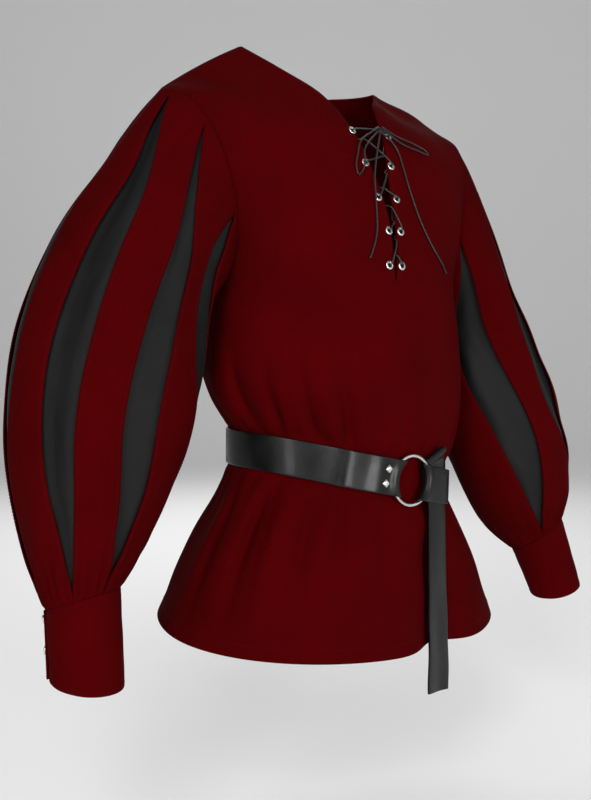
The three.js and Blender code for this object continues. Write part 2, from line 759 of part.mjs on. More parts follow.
// Half a turn of leather round the wire, from below it to above it, on the side of the ring's middle.
function foldRound(wire, inward) {
  return [-90, -55, -20, 20, 55, 90].map((degrees) => {
    const a = radians(degrees);
    const angle = wire.angle + (inward * FOLD * Math.cos(a)) / MM_PER_DEGREE;
    return [angle, wire.out + FOLD * Math.sin(a), inward];
  });
}

// The strap's course: angle, distance from the cloth's middle, and whether it hugs the round wire.
const STRAP = table("angle out hug", [
  [-26, ON_CLOTH, 0],
  [-17, ON_CLOTH, 0],
  [-9, ON_CLOTH + 0.4, 0.3],
  ...foldRound(WIRE_NEAR, 1),
  [-5.2, ON_CLOTH + 2 * PLY + 1, 0.5],
  [-6.4, ON_CLOTH + 2 * PLY, 0.2],
  [-10.8, ON_CLOTH + 2 * PLY, 0],
  [-17, ON_CLOTH + PLY + 0.6, 0],
  [-26, ON_CLOTH + PLY, 0],
  [-30, ON_CLOTH + 1, 0],
  ...[...Array(26).keys()].map((k) => [(-3 - k) * COLUMN, ON_CLOTH, 0]),
  [38 - 360, ON_CLOTH + 0.6, 0],
  [34.2 - 360, ON_CLOTH + PLY, 0],
  [30 - 360, ON_CLOTH + PLY + 0.1, 0],
  [25.8 - 360, ON_CLOTH + PLY, 0],
  [21.8 - 360, ON_CLOTH + PLY, -0.2],
  ...foldRound({ angle: WIRE_FAR.angle - 360, out: WIRE_FAR.out }, -1),
  [18.6 - 360, ON_CLOTH + 3 * PLY + 1.4, -0.5],
  [21.8 - 360, ON_CLOTH + 3 * PLY + 0.8, -0.2],
  [25.8 - 360, ON_CLOTH + 3 * PLY + 0.7, 0],
  [30 - 360, ON_CLOTH + 3 * PLY + 0.8, 0],
  [34.2 - 360, ON_CLOTH + 3 * PLY + 0.4, 0],
  [36.6 - 360, ON_CLOTH + 3 * PLY - 1, 0],
]);

const wireEnds = [WIRE_NEAR, WIRE_FAR].map(({ angle, out }) => beltPoint(angle, out));
const ringRadius = wireEnds[0].distanceTo(wireEnds[1]) / 2;

function strapPanel() {
  const panel = new Panel();
  const rows = [-1, -0.5, 0, 0.5, 1].map((edge) => {
    const rise = (edge * BELT_WIDTH) / 2;
    const bow = ringRadius - Math.sqrt(ringRadius ** 2 - rise ** 2);
    return STRAP.map(({ angle, out, hug }) => {
      const closer = Math.abs(hug) * bow * 0.11;
      return panel.add(beltPoint(angle + (hug * bow) / MM_PER_DEGREE, out - closer, rise));
    });
  });
  panel.skin(rows);
  return panel;
}
const strap = strapPanel();
place("belt_strap", wall(strap, sharedNormals([strap])[0], LEATHER, 0), leather);

// The ring stands on the line between the two folds.
const across = wireEnds[1].clone().sub(wireEnds[0]).normalize();
const facing = across.clone().cross(point(0, 0, 1)).normalize();
const upright = facing.clone().cross(across);
const ringPlace = new THREE.Matrix4()
  .makeBasis(across, upright, facing)
  .setPosition(wireEnds[0].clone().lerp(wireEnds[1], 0.5));
place("belt_ring", new THREE.TorusGeometry(ringRadius, RING_WIRE, 6, 36).applyMatrix4(ringPlace), steel);

const BELT_STUDS = table("angle rise", [
  [-7.6, 8],
  [-7.8, -8],
]);
BELT_STUDS.forEach(({ angle, rise }, k) => {
  const out = ON_CLOTH + 2 * PLY + LEATHER / 2 + 0.35;
  const base = beltPoint(angle, out, rise);
  const axis = beltPoint(angle, out + 5, rise).sub(base);
  const pyramid = new THREE.CylinderGeometry(1.2, 5.8, 3.4, 4).translate(0, 1.6, 0);
  place(`belt_stud_${k + 1}`, stand(pyramid, base, axis), steel);
});

// The free end comes up behind the belt, over its top edge, down under the wrap, and hangs.
const TAIL = { angle: 26.2, half: 7.2, foldLow: -488, foldHigh: -468, foot: -754 };
const TAIL_SWAY = point(-18, -20, 0); // how far the free end's foot hangs from its root
const TAIL_TURN = 9; // how far its left edge swings out, so that it hangs square to the front
const TAIL_ROOT = -554; // where it leaves the wrap
const BLOUSE = { from: -494, slope: 0.6 }; // the cloth's rise above the belt

function tailPanel() {
  const panel = new Panel();
  const columns = [-1, -0.5, 0, 0.5, 1].map((side) => {
    const angle = TAIL.angle + side * TAIL.half;
    const top = mix(TAIL.foldLow, TAIL.foldHigh, (side + 1) / 2);
    const inner = ON_CLOTH;
    const outer = ON_CLOTH + 2 * PLY + 0.2;
    const lean = (z) => Math.max(0, z - BLOUSE.from) * BLOUSE.slope;
    const bend = (outer - inner) / 2;
    const stops = [[-524, inner], [-503, inner], [mix(-503, top, 0.5), inner]];
    for (const degrees of [0, 45, 90, 135, 180]) {
      const a = radians(degrees);
      stops.push([top - bend + bend * Math.sin(a), inner + bend - bend * Math.cos(a)]);
    }
    stops.push([mix(-503, top, 0.5), outer], [-503, outer], [-532, outer], [TAIL_ROOT, outer + 1]);
    const points = stops.map(([z, out]) => {
      const p = beltPoint(angle, out + lean(z));
      return point(p.x, p.y, z);
    });
    const root = points[points.length - 1];
    for (let k = 1; k <= 5; k += 1) {
      const hang = root.clone().addScaledVector(TAIL_SWAY, k / 5);
      hang.y -= (side * TAIL_TURN * k) / 5;
      hang.z = mix(TAIL_ROOT, TAIL.foot, k / 5);
      points.push(hang);
    }
    return points.map((p) => panel.add(p));
  });
  panel.skin(columns);
  return panel;
}
const tail = tailPanel();
place("belt_tail", wall(tail, sharedNormals([tail])[0], LEATHER, 0), leather);

// ---------- lace ----------
const CORD_SIDES = 8;
const CORD_STEP = 6; // length of one straight of the cord, in its free runs
const LACING_STEP = 4.6;

function cord(points, step = CORD_STEP) {
  const path = new THREE.CatmullRomCurve3(points, false, "centripetal");
  const section = new THREE.Shape();
  for (let k = 0; k < CORD_SIDES; k += 1) {
    const a = (2 * Math.PI * k) / CORD_SIDES;
    const [x, y] = [(CORD / 2) * Math.cos(a), (CORD / 2) * Math.sin(a)];
    if (k === 0) section.moveTo(x, y);
    else section.lineTo(x, y);
  }
  return new THREE.ExtrudeGeometry(section, {
    extrudePath: path,
    steps: Math.round(path.getLength() / step),
    bevelEnabled: false,
  });
}

const KNOT = { at: point(18, -100, -103), radius: 4.6 };
const THROUGH = 3.9; // how far the cord stands off the cloth's middle beside an eyelet

// Where a cord meets the knot, seen from the front: 0 to the wearer's left, 90 up, and its depth.
function knotExit({ turn, depth }) {
  const a = radians(turn);
  return KNOT.at.clone().add(point(Math.cos(a), depth, Math.sin(a)).setLength(KNOT.radius + 0.8));
}

const slit = tracks(FRONT_EDGE, "z");

// One half of the lace: out of each eyelet to the front, over the slit, and under the far edge.
// dive is how far up between two rows it goes under, and ride how far it stands off before that.
function lacing(first, { dive, ride, exit }) {
  const seats = [...eyeletSeats].reverse();
  const low = seats[0];
  let word = first;
  const lean = first === "right" ? -0.5 : 0.5;
  const points = [
    low.right.at.clone().lerp(low.left.at, 0.5).add(point(lean, THROUGH + 1, 0)),
    low[word].at.clone().addScaledVector(low[word].out, -THROUGH),
  ];
  seats.forEach((row, k) => {
    const here = row[word];
    points.push(here.at.clone(), here.at.clone().addScaledVector(here.out, THROUGH));
    word = word === "right" ? "left" : "right";
    if (k + 1 === seats.length) return;
    const there = seats[k + 1][word];
    const under = mix(here.at.z, there.at.z, dive);
    const edge = slit(under);
    const half = (word === "left" ? 1 : -1) * Math.max(edge.x - 2.7, 0);
    const gap = point(edge.shift + half, edge.y, under);
    const onward = there.at.clone().sub(here.at).setLength(2);
    points.push(here.at.clone().lerp(gap, 0.5).addScaledVector(here.out, ride));
    points.push(gap.clone().sub(onward).addScaledVector(there.out, 2.2));
    points.push(gap.clone().add(onward).addScaledVector(there.out, -2.4));
    points.push(there.at.clone().addScaledVector(there.out, -THROUGH));
  });
  const end = points[points.length - 1];
  const stop = knotExit(exit);
  points.push(end.clone().lerp(stop, 0.5).add(point(0, -2, 0)), stop);
  return points;
}
const LACINGS = {
  right: { dive: 0.76, ride: 5.4, exit: { turn: 180, depth: 0.2 } },
  left: { dive: 0.3, ride: 2.5, exit: { turn: -12, depth: 0.5 } },
};
for (const [word, course] of Object.entries(LACINGS)) {
  place(`lace_from_${word}`, cord(lacing(word, course), LACING_STEP), laceCord);
}

const knot = new THREE.SphereGeometry(KNOT.radius, 10, 8);
place("lace_knot", knot.translate(KNOT.at.x, KNOT.at.y, KNOT.at.z), laceCord);

// Free cord lying on the front: a list of places, and how far each stands off the cloth.
const RUN_COLUMNS = "x z lift";
const FREE_CORDS = {
  lace_end_long: table(RUN_COLUMNS, [
    [36, -117, 6],
    [44, -127, 3.4],
    [45.5, -146, 3],
    [47, -178, 3],
    [54.6, -215, 3],
    [69, -243, 3],
    [84, -258, 3],
    [97, -270, 3],
  ]),
  lace_end_short: table(RUN_COLUMNS, [
    [-6, -163, 7],
    [-13, -197, 4],
    [-18.6, -228, 2.6],
    [-26, -246, 2.6],
    [-33, -259, 2.6],
  ]),
  lace_loop_right: table(RUN_COLUMNS, [
    [45, -108, 6],
    [62, -110, 4],
    [80, -113, 3],
    [96, -119, 2.6],
    [98, -124, 2.6],
    [80, -121, 3],
    [60, -118, 4],
    [45, -114, 6],
  ]),
  lace_loop_left: table(RUN_COLUMNS, [
    [-15, -124, 7],
    [-22, -138, 5],
    [-28, -154, 3],
    [-27, -163, 2.6],
    [-22, -160, 3],
    [-16, -150, 6],
    [-13, -134, 8],
  ]),
};

const FREE_EXITS = {
  lace_end_long: [{ turn: -48, depth: -0.6 }],
  lace_end_short: [{ turn: -110, depth: -1.6 }],
  lace_loop_right: [{ turn: 40, depth: -0.8 }, { turn: 0, depth: -1.2 }],
  lace_loop_left: [{ turn: 150, depth: -0.9 }, { turn: -150, depth: -0.9 }],
};
for (const [name, run] of Object.entries(FREE_CORDS)) {
  const [start, finish] = FREE_EXITS[name].map(knotExit);
  const points = [start, ...run.map(({ x, z, lift }) => onFront(x, z, lift).at)];
  if (finish) points.push(finish);
  place(name, cord(points), laceCord);
}

export default shirt;
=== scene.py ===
"""A laced medieval shirt with slashed balloon sleeves and a ring belt, dressed over its CAD frame."""

import math

import bmesh
import bpy
import numpy as np
from mathutils import Matrix, Vector
from mathutils.bvhtree import BVHTree


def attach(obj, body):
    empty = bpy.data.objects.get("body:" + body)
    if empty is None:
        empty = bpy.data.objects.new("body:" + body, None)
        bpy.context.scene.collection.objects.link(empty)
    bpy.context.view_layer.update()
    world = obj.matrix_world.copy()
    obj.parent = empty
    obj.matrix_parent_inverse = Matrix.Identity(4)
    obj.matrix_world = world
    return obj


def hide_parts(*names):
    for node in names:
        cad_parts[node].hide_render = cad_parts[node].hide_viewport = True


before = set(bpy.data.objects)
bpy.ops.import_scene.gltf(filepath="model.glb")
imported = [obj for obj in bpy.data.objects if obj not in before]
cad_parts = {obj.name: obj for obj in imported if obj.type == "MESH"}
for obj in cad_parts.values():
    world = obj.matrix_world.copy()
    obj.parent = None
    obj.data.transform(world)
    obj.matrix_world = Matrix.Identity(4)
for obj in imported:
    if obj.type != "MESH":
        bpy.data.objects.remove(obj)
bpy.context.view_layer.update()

# Lengths are in millimetres up to the making of a mesh, which is in metres.
MM = 0.001
WELD_DISTANCE = 4e-6  # metres
CLOTH = 1.6  # wall of a hemmed twill panel
GORE_CLOTH = 1.12
CUFF_WALL = 2.4  # two plies and interfacing
LEATHER = 2.6
BELT_WIDTH = 40
CORD = 2
RIGHT, LEFT = -1, 1
SIDES = ((RIGHT, "right"), (LEFT, "left"))

# ---------------------------------------------------------------- tables and curves


def table(columns, rows):
    """Rows of numbers under named columns."""
    names = columns.split()
    return [dict(zip(names, row)) for row in rows]


def column(rows, name):
    return [row[name] for row in rows]


def track(at, value):
    """A smooth curve through values, each a number or an array, at places in rising order."""
    at = np.array(at, float)
    value = np.array(value, float)
    shaped = lambda x: x.reshape(x.shape + (1,) * (value.ndim - 1))
    before = np.maximum(np.arange(len(at)) - 1, 0)
    after = np.minimum(np.arange(len(at)) + 1, len(at) - 1)
    slope = (value[after] - value[before]) / shaped(at[after] - at[before])

    def curve(x):
        x = np.asarray(x, float)
        i = np.clip(np.searchsorted(at, x, side="right") - 1, 0, len(at) - 2)
        width = at[i + 1] - at[i]
        f = shaped(np.clip((x - at[i]) / width, 0, 1))
        g = 1 - f
        near = value[i] * g * g * (1 + 2 * f) + value[i + 1] * f * f * (1 + 2 * g)
        return near + shaped(width) * f * g * (slope[i] * g - slope[i + 1] * f)

    return curve


def tracks(rows, along):
    """Every column of a table as such a curve."""
    at = column(rows, along)
    return {name: track(at, column(rows, name)) for name in rows[0] if name != along}


def smooth(x, start, end):
    f = np.clip((x - start) / (end - start), 0, 1)
    return f * f * (3 - 2 * f)


def mix(a, b, f):
    return a * (1 - f) + b * f


def unit(v):
    return v / np.maximum(np.linalg.norm(v, axis=-1, keepdims=True), 1e-9)


def ripple(x, y, seed):
    """Soft waves of unlike lengths and directions, about -1 to 1, the same on every run."""
    turns = np.random.default_rng(seed).uniform(0, 2 * math.pi, (7, 2))
    total = 0
    for k, (turn, phase) in enumerate(turns):
        rate = 1 + 0.45 * k
        total = total + np.sin(rate * (x * math.cos(turn) + y * math.sin(turn)) + phase) / rate**0.6
    return total / 2.6


# ---------------------------------------------------------------- the sleeve's shape

SLEEVE_COLUMNS = "t x y z tilt fore out in scoop twist pitch"
SLEEVES = {
    RIGHT: table(SLEEVE_COLUMNS, [
        [0.0, 190, -5, -190, 78, 80, 122, 113, 18, 0, 0],
        [0.14, 226, -12, -236, 60, 86, 100, 92, 8, 0, 0],
        [0.3, 259, -20, -300, 36, 90, 103, 94, 0, 0, 0],
        [0.46, 287, -30, -368, 16, 92, 102, 98, 0, 0, 0],
        [0.62, 305, -42, -438, 2, 88, 95, 95, 0, 0, 0],
        [0.76, 321, -55, -500, -4, 78, 77, 82, 0, -2, 0],
        [0.89, 333, -68, -555, -6, 58, 55, 62, 0, -4, 0.12],
        [1.0, 339, -77, -600, -8, 33, 35, 35, 0, -6, 0.3],
    ]),
    LEFT: table(SLEEVE_COLUMNS, [
        [0.0, 190, -5, -190, 78, 80, 116, 113, 18, 0, 0],
        [0.14, 212, -10, -248, 62, 84, 96, 66, 8, -3, 0],
        [0.3, 233, -18, -318, 40, 86, 81, 63, 0, -4, 0],
        [0.46, 259, -28, -386, 25, 86, 84, 78, 0, 3, 0],
        [0.62, 283, -40, -450, 18, 84, 85, 86, 0, 12, 0],
        [0.76, 301, -53, -512, 18, 76, 82, 82, 0, 21, 0.05],
        [0.89, 316, -66, -570, 24, 58, 66, 66, 0, 28, 0.2],
        [1.0, 328, -78, -618, 27, 33, 36, 36, 0, 30, 0.45],
    ]),
}
sleeve_ring = {side: tracks(rows, "t") for side, rows in SLEEVES.items()}

# Where the neck opening hangs lower on the wearer's left, how widely, and how far.
DROOP_AT, DROOP_REACH, DROOP = (100, 5), (55, 80), 26


def settle(p):
    """Lowers the points round the neck's left side, but not those further down."""
    away = (p[..., :2] - DROOP_AT) / DROOP_REACH
    p[..., 2] -= DROOP * np.exp(-(away**2).sum(-1)) * smooth(p[..., 2], -150, -25)
    return p


def sleeve_point(side, t, degrees):
    """Points of a sleeve at t along it and at angles round it: 0 in front, 90 outside or on top."""
    t, degrees = np.broadcast_arrays(np.asarray(t, float), np.asarray(degrees, float))
    r = {name: curve(t) for name, curve in sleeve_ring[side].items()}
    tilt, turn = np.radians(r["tilt"]), np.radians(degrees + r["twist"])
    sine, cosine = np.sin(turn), np.cos(turn)
    out = np.where(sine > 0, r["out"], r["in"]) * sine
    x = side * (r["x"] + out * np.cos(tilt) - r["scoop"] * np.abs(cosine))
    y = r["y"] - r["fore"] * cosine
    z = r["z"] + out * np.sin(tilt) + r["pitch"] * r["fore"] * cosine
    return settle(np.stack([x, y, z], -1))


# ---------------------------------------------------------------- the body's shape

BELT_LEVEL = -490
BELT_REACH = 21  # from that level to the body's rings above and below the belt
SKIRT = 170  # from the lower one to the hem
BELT_LINE = table("angle z", [
    [-180, -474],
    [-110, -472],
    [-70, -474],
    [-45, -482],
    [-25, -492],
    [0, -506],
    [20, -518],
    [40, -527],
    [60, -520],
    [90, -498],
    [130, -482],
    [180, -474],
])
belt_line = track(column(BELT_LINE, "angle"), column(BELT_LINE, "z"))

BODY = table("z x y side front back follow drop dip power steps", [
    [-680, 6, -37, 231, 132, 150, 0, 0.063, 0.16, 1, 44],
    [-600, 7, -37, 197, 119, 137, 0.2, 0.04, 0.06, 1, 30],
    [-545, 8, -37, 164, 110, 116, 0.7, 0, 0, 1, 20],
    [-511, 8, -37, 143, 103, 101, 1, 0, 0, 1, 6],
    [-490, 8, -37, 143, 103, 101, 1, 0, 0, 1, 6],
    [-469, 8, -37, 143, 103, 101, 1, 0, 0, 1, 10],
    [-450, 8, -37, 157, 116, 112, 0.9, 0, 0, 1, 12],
    [-425, 8, -36, 170, 122, 119, 0.6, 0, 0, 1, 14],
    [-395, 6, -34, 176, 121, 123, 0.3, 0, 0, 0.97, 20],
    [-350, 4, -32, 173, 117, 126, 0, 0, 0, 0.9, 20],
    [-302, 2, -30, 170, 118, 127, 0, 0, 0, 0.78, 1],
])

# Long soft folds that the CAD walls have too: the angle at the belt, half width in degrees, depth, the
# heights where the fold is deepest and where it is gone, and the angle at its foot if that differs.
FOLD_COLUMNS = "angle width depth deep gone foot"
FOLDS = table(FOLD_COLUMNS, [
    [-24, 5, 5, -455, -330],
    [-8, 5, 4, -455, -350],
    [-70, 9, 5, -440, -350],
    [17, 20, 9, -462, -395],
    [35, 8, 4, -455, -360],
    [70, 9, 5, -450, -350],
    [120, 10, 5, -450, -340],
    [160, 9, 5, -450, -330],
    [-160, 9, 5, -450, -330],
    [-120, 10, 5, -450, -340],
    [-62, 7, 5, -545, -670],
    [-38, 7, 5, -545, -650],
    [-14, 7, 4, -545, -620],
    [25, 10.5, 22, -640, -900, 15],
    [60, 9, 5, -545, -660],
    *[[angle, 9, 6, -560, -690] for angle in (100, 140, 180, -140, -100)],
])

# Finer creases, which only the cloth here has.
CREASES = table(FOLD_COLUMNS, [
    [-42, 2.6, 6, -450, -318],
    [-33, 2.4, -3, -446, -352],
    [-25, 2.2, 5, -452, -338],
    [-15, 2.6, 3, -448, -372],
    [-58, 3.2, 4, -446, -352],
    [-76, 4, 5, -440, -330],
    [2, 2.6, 3, -450, -385],
    [48, 3, 4, -450, -360],
    [84, 4, 4, -450, -350],
    [104, 3, 4, -450, -340],
    [141, 3, 5, -450, -330],
    [173, 3, 4, -450, -350],
    [-174, 3, 4, -450, -330],
    [-146, 3, 5, -450, -340],
    [-106, 3, 4, -450, -350],
    [-66, 3, 6, -560, -690, -64],
    [-52, 3.5, -4, -570, -700, -54],
    [-41, 2.8, 5, -560, -668, -39],
    [-27, 2.6, 4, -556, -650, -25],
    [-8, 3, 3, -550, -640, -6],
    [48, 3, 4, -556, -690, 52],
    [76, 4, 5, -560, -700, 80],
    *[[angle, 4, 5, -560, -700, angle + 2] for angle in (118, 158, -164, -122, -84)],
])


def wrapped(angle):
    return (np.asarray(angle, float) + 180) % 360 - 180


def fold_depth(folds, angle, z):
    """How deep a list of folds lies at angles and heights."""
    angle, z = np.broadcast_arrays(np.asarray(angle, float), np.asarray(z, float))
    total = np.zeros(angle.shape)
    for f in folds:
        down = np.clip((BELT_LEVEL - BELT_REACH - z) / SKIRT, 0, 1)
        line = mix(f["angle"], f.get("foot", f["angle"]), down)
        away = wrapped(angle - line) / f["width"]
        start = BELT_LEVEL + (BELT_REACH if f["deep"] > BELT_LEVEL else -BELT_REACH)
        rise = smooth((z - start) / (f["deep"] - start), 0, 1)
        fade = smooth((f["gone"] - z) / (f["gone"] - f["deep"]), 0, 1)
        total += f["depth"] * np.exp(-away * away) * rise * fade
    return total


def ring_point(ring, angle, out=0):
    """Points of a ring of the body at angles from the centre front, set out by `out`."""
    turn = np.radians(np.asarray(angle, float))
    sine, cosine = np.sin(turn), np.cos(turn)
    deep = np.where(cosine > 0, ring["front"], ring["back"])
    reach = out - fold_depth(FOLDS, angle, ring["z"])
    x = ring["x"] + (ring["side"] + reach) * np.sign(sine) * np.abs(sine) ** ring["power"]
    y = ring["y"] - (deep + reach) * np.sign(cosine) * np.abs(cosine) ** ring["power"]
    sag = ring["follow"] * (belt_line(wrapped(angle)) - BELT_LEVEL)
    sag = sag - ring["drop"] * x + ring["dip"] * (y - ring["y"])
    return np.stack(np.broadcast_arrays(x, y, ring["z"] + sag), -1)


# The inner edge of each row above the armpits, with the armhole angle that the row ends on.
EDGE_COLUMNS = "at x shift y z puff"
FRONT_EDGE = table(EDGE_COLUMNS, [
    [-70, 0, 3, -147.5, -284, 47],
    [-50, 2.8, 5, -146, -264, 38],
    [-15, 3, 10.5, -136, -221, 23],
    [15, 7.5, 10, -120, -174, 15],
    [45, 19, 9, -97, -114, 10],
    [65, 38, 3, -62, -62, 7],
    [78, 72, 0, -28, -30, 3],
    [90, 104, 0, 10, 0, 0],
])
BACK_EDGE = table(EDGE_COLUMNS, [
    [225, 0, 0, 100, -258, 20],
    [195, 0, 0, 101, -205, 22],
    [166, 0, 0, 97, -145, 16],
    [138, 0, 0, 82, -80, 12],
    [125, 0, 0, 66, -40, 9],
    [115, 42, 0, 58, -26, 6],
    [102, 84, 0, 36, -8, 3],
    [90, 104, 0, 10, 0, 0],
])
SHOULDER_RISE = 3
ARMPIT_HEIGHT = len(BODY) - 1  # counted in body rings
DEGREES_PER_RING = 30  # of the armhole, above the armpit
BODY_COLUMNS = 60  # from the centre line to a side seam
CHEST_ROWS = 92


def control_rows(edge, facing, side, first, u):
    """The control points of a panel's columns, as (heights, points by row and column)."""
    angle = (0 if facing > 0 else 180) + facing * side * 90 * u
    below = np.array([ring_point(ring, angle) for ring in BODY])
    armpit = sleeve_point(side, 0, -90) - below[-1, -1]
    below[-1] += armpit * u[:, None] ** 3
    heights, above = list(range(len(BODY))), []
    bow = (np.cos(np.radians(90 * u)) + np.sin(np.radians(90 * u)) - 1) / (math.sqrt(2) - 1)
    for row in edge:
        q = min(abs(row["at"] - first) / 180, 1)
        along = mix(np.sin(np.radians(90 * u)), u, q)[:, None]
        inner = np.array([side * row["x"] + row["shift"], row["y"], row["z"]])
        p = mix(inner, sleeve_point(side, 0, row["at"]), along)
        p[:, 1] -= facing * row["puff"] * bow
        if row["at"] == 90:
            p[:, 2] += SHOULDER_RISE * 4 * u * (1 - u)
        above.append(p)
        heights.append(ARMPIT_HEIGHT + abs(row["at"] - first) / DEGREES_PER_RING)
    return heights, np.concatenate([below, above])


def body_half(edge, facing, side, first, u, height):
    """The middle surface of half a body panel: points by row and column."""
    heights, control = control_rows(edge, facing, side, first, u)
    p = track(heights, control)(height)
    chest = height >= ARMPIT_HEIGHT
    turn = 1 if first < 90 else -1
    at = first + turn * DEGREES_PER_RING * (height[chest] - ARMPIT_HEIGHT)
    upper = settle(p[chest])
    miss = sleeve_point(side, 0, at) - upper[:, -1]
    p[chest] = upper + miss[:, None] * u[:, None] ** 3
    return p


# ---------------------------------------------------------------- meshes


def steps_along(p, axis):
    """Distances from the first point, along rows or columns of points."""
    step = np.linalg.norm(np.diff(p, axis=axis), axis=-1)
    return np.concatenate([np.zeros_like(np.take(step, [0], axis)), np.cumsum(step, axis)], axis)


def grid_normals(p, outward=1):
    down = np.gradient(p, axis=0)
    across = np.gradient(p, axis=1)
    return unit(np.cross(across, down)) * outward


class Sheet:
    """A middle surface as a grid of points, with its normals and flat coordinates in millimetres."""

    def __init__(self, points, outward=1):
        self.p = points
        self.n = grid_normals(points, outward)
        self.outward = outward
        self.uv = np.stack([steps_along(points, 1), steps_along(points, 0)], -1)

    def push(self, distance):
        """Moves the surface along its normals."""
        self.p = self.p + self.n * distance[..., None]
        self.n = grid_normals(self.p, self.outward)
        return self


def added(name, data):
    """A new object in the scene."""
    made = bpy.data.objects.new(name, data)
    bpy.context.collection.objects.link(made)
    return made


def mesh_piece(name, points, faces, material, uv=None):
    """An object from points in millimetres and faces of point numbers."""
    mesh = bpy.data.meshes.new(name)
    mesh.from_pydata((np.asarray(points) * MM).tolist(), [], faces)
    if uv is not None:
        layer = mesh.uv_layers.new(name="flat")
        corner = np.empty(len(mesh.loops), int)
        mesh.loops.foreach_get("vertex_index", corner)
        layer.data.foreach_set("uv", (np.asarray(uv)[corner] * MM).ravel())
    mesh.shade_smooth()
    mesh.materials.append(material)
    return added(name, mesh)


def quads(rows, columns, start=0, flip=False):
    """Faces of a grid of points numbered by rows from `start`."""
    ids = start + np.arange(rows * columns).reshape(rows, columns)
    ring = [ids[:-1, :-1], ids[:-1, 1:], ids[1:, 1:], ids[1:, :-1]]
    return np.stack(ring[::-1] if flip else ring, -1).reshape(-1, 4)


def join_normals(sheets):
    """Gives points that lie together one normal. Returns all points, and a number for each place."""
    middle = np.concatenate([sheet.p.reshape(-1, 3) for sheet in sheets])
    _, shared = np.unique(np.round(middle, 3), axis=0, return_inverse=True)
    shared = shared.ravel()
    normals = np.zeros((shared.max() + 1, 3))
    np.add.at(normals, shared, np.concatenate([sheet.n.reshape(-1, 3) for sheet in sheets]))
    start = 0
    for sheet in sheets:
        end = start + sheet.p[..., 0].size
        sheet.n = unit(normals)[shared[start:end]].reshape(sheet.p.shape)
        start = end
    return middle, shared


def shell(name, sheets, thickness, material):
    """A closed wall on joined sheets: both skins, and a strip round every free edge."""
    middle, shared = join_normals(sheets)
    reach = np.concatenate([sheet.n.reshape(-1, 3) for sheet in sheets]) * thickness / 2
    faces, start = [], 0
    for sheet in sheets:
        rows, columns = sheet.p.shape[:2]
        faces.append(quads(rows, columns, start, sheet.outward < 0))
        start += rows * columns
    outer = np.concatenate(faces)
    inner = outer[:, ::-1] + len(middle)
    faces = np.concatenate([outer, inner, rim_faces(outer, shared, len(middle))]).tolist()
    uv = np.concatenate([sheet.uv.reshape(-1, 2) for sheet in sheets])
    points = np.concatenate([middle + reach, middle - reach])
    return weld(mesh_piece(name, points, faces, material, np.tile(uv, (2, 1))))


def rim_faces(faces, shared, skin):
    """Quads between the two skins along every edge that only one face of the outer skin has."""
    edges = {}
    for face in faces.tolist():
        for a, b in zip(face, face[1:] + face[:1]):
            edges[(shared[a], shared[b])] = (a, b)
    free = [ends for (a, b), ends in edges.items() if a != b and (b, a) not in edges]
    return np.array([[b, a, a + skin, b + skin] for a, b in free])


def apply_modifiers(piece):
    """Turns a piece and its modifiers into a plain mesh."""
    bpy.context.view_layer.update()
    depsgraph = bpy.context.evaluated_depsgraph_get()
    seen = piece.evaluated_get(depsgraph)
    mesh = bpy.data.meshes.new_from_object(seen, preserve_all_data_layers=True, depsgraph=depsgraph)
    piece.modifiers.clear()
    piece.data = mesh


def soften(piece, width):
    """Rounds the sharp edges of a piece."""
    bevel = piece.modifiers.new("bevel", "BEVEL")
    bevel.width, bevel.segments = width * MM, 3
    bevel.limit_method, bevel.angle_limit = "ANGLE", math.radians(50)
    bevel.use_clamp_overlap = True
    apply_modifiers(piece)
    piece.data.shade_smooth()
    return piece


def weld(piece):
    """Joins points that lie together, and drops faces and loose points that this leaves flat."""
    work = bmesh.new()
    work.from_mesh(piece.data)
    bmesh.ops.remove_doubles(work, verts=work.verts, dist=WELD_DISTANCE)
    bmesh.ops.dissolve_degenerate(work, edges=work.edges, dist=WELD_DISTANCE / 2)
    bmesh.ops.delete(work, geom=[v for v in work.verts if not v.link_faces], context="VERTS")
    bmesh.ops.recalc_face_normals(work, faces=work.faces)
    work.to_mesh(piece.data)
    work.free()
    piece.data.shade_smooth()
    return piece


def dress(piece, slot, *nodes):
    """Rides the piece on the part and lets it stand for CAD nodes."""
    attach(piece, "root")
    if nodes:
        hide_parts(*nodes)
    return piece


# ---------------------------------------------------------------- materials


def linear(hexcode):
    """A shader colour from an sRGB hex code."""
    parts = [int(hexcode[i : i + 2], 16) / 255 for i in (1, 3, 5)]
    return [c / 12.92 if c <= 0.04045 else ((c + 0.055) / 1.055) ** 2.4 for c in parts] + [1.0]


def node(tree, kind, inputs=None, **settings):
    """Adds a node. An input is a value, or a socket to link from."""
    made = tree.nodes.new(kind)
    for name, value in settings.items():
        setattr(made, name, value)
    for name, value in (inputs or {}).items():
        if isinstance(value, bpy.types.NodeSocket):
            tree.links.new(value, made.inputs[name])
        else:
            made.inputs[name].default_value = value
    return made


def ramp(tree, factor, stops):
    """A colour ramp through (place, colour) stops."""
    made = node(tree, "ShaderNodeValToRGB", {"Fac": factor})
    elements = made.color_ramp.elements
    while len(elements) < len(stops):
        elements.new(0.5)
    for element, (place, colour) in zip(elements, stops):
        element.position, element.color = place, colour
    return made.outputs["Color"]


def maths(tree, operation, a, b):
    return node(tree, "ShaderNodeMath", {0: a, 1: b}, operation=operation).outputs[0]


def noise(tree, vector, scale, detail, roughness=0.5):
    inputs = {"Vector": vector, "Scale": scale, "Detail": detail, "Roughness": roughness}
    return node(tree, "ShaderNodeTexNoise", inputs).outputs["Fac"]


def ranged(tree, value, start, end, low=0.0, high=1.0):
    """Maps start to end onto low to high."""
    inputs = {"Value": value, "From Min": start, "From Max": end, "To Min": low, "To Max": high}
    return node(tree, "ShaderNodeMapRange", inputs).outputs["Result"]


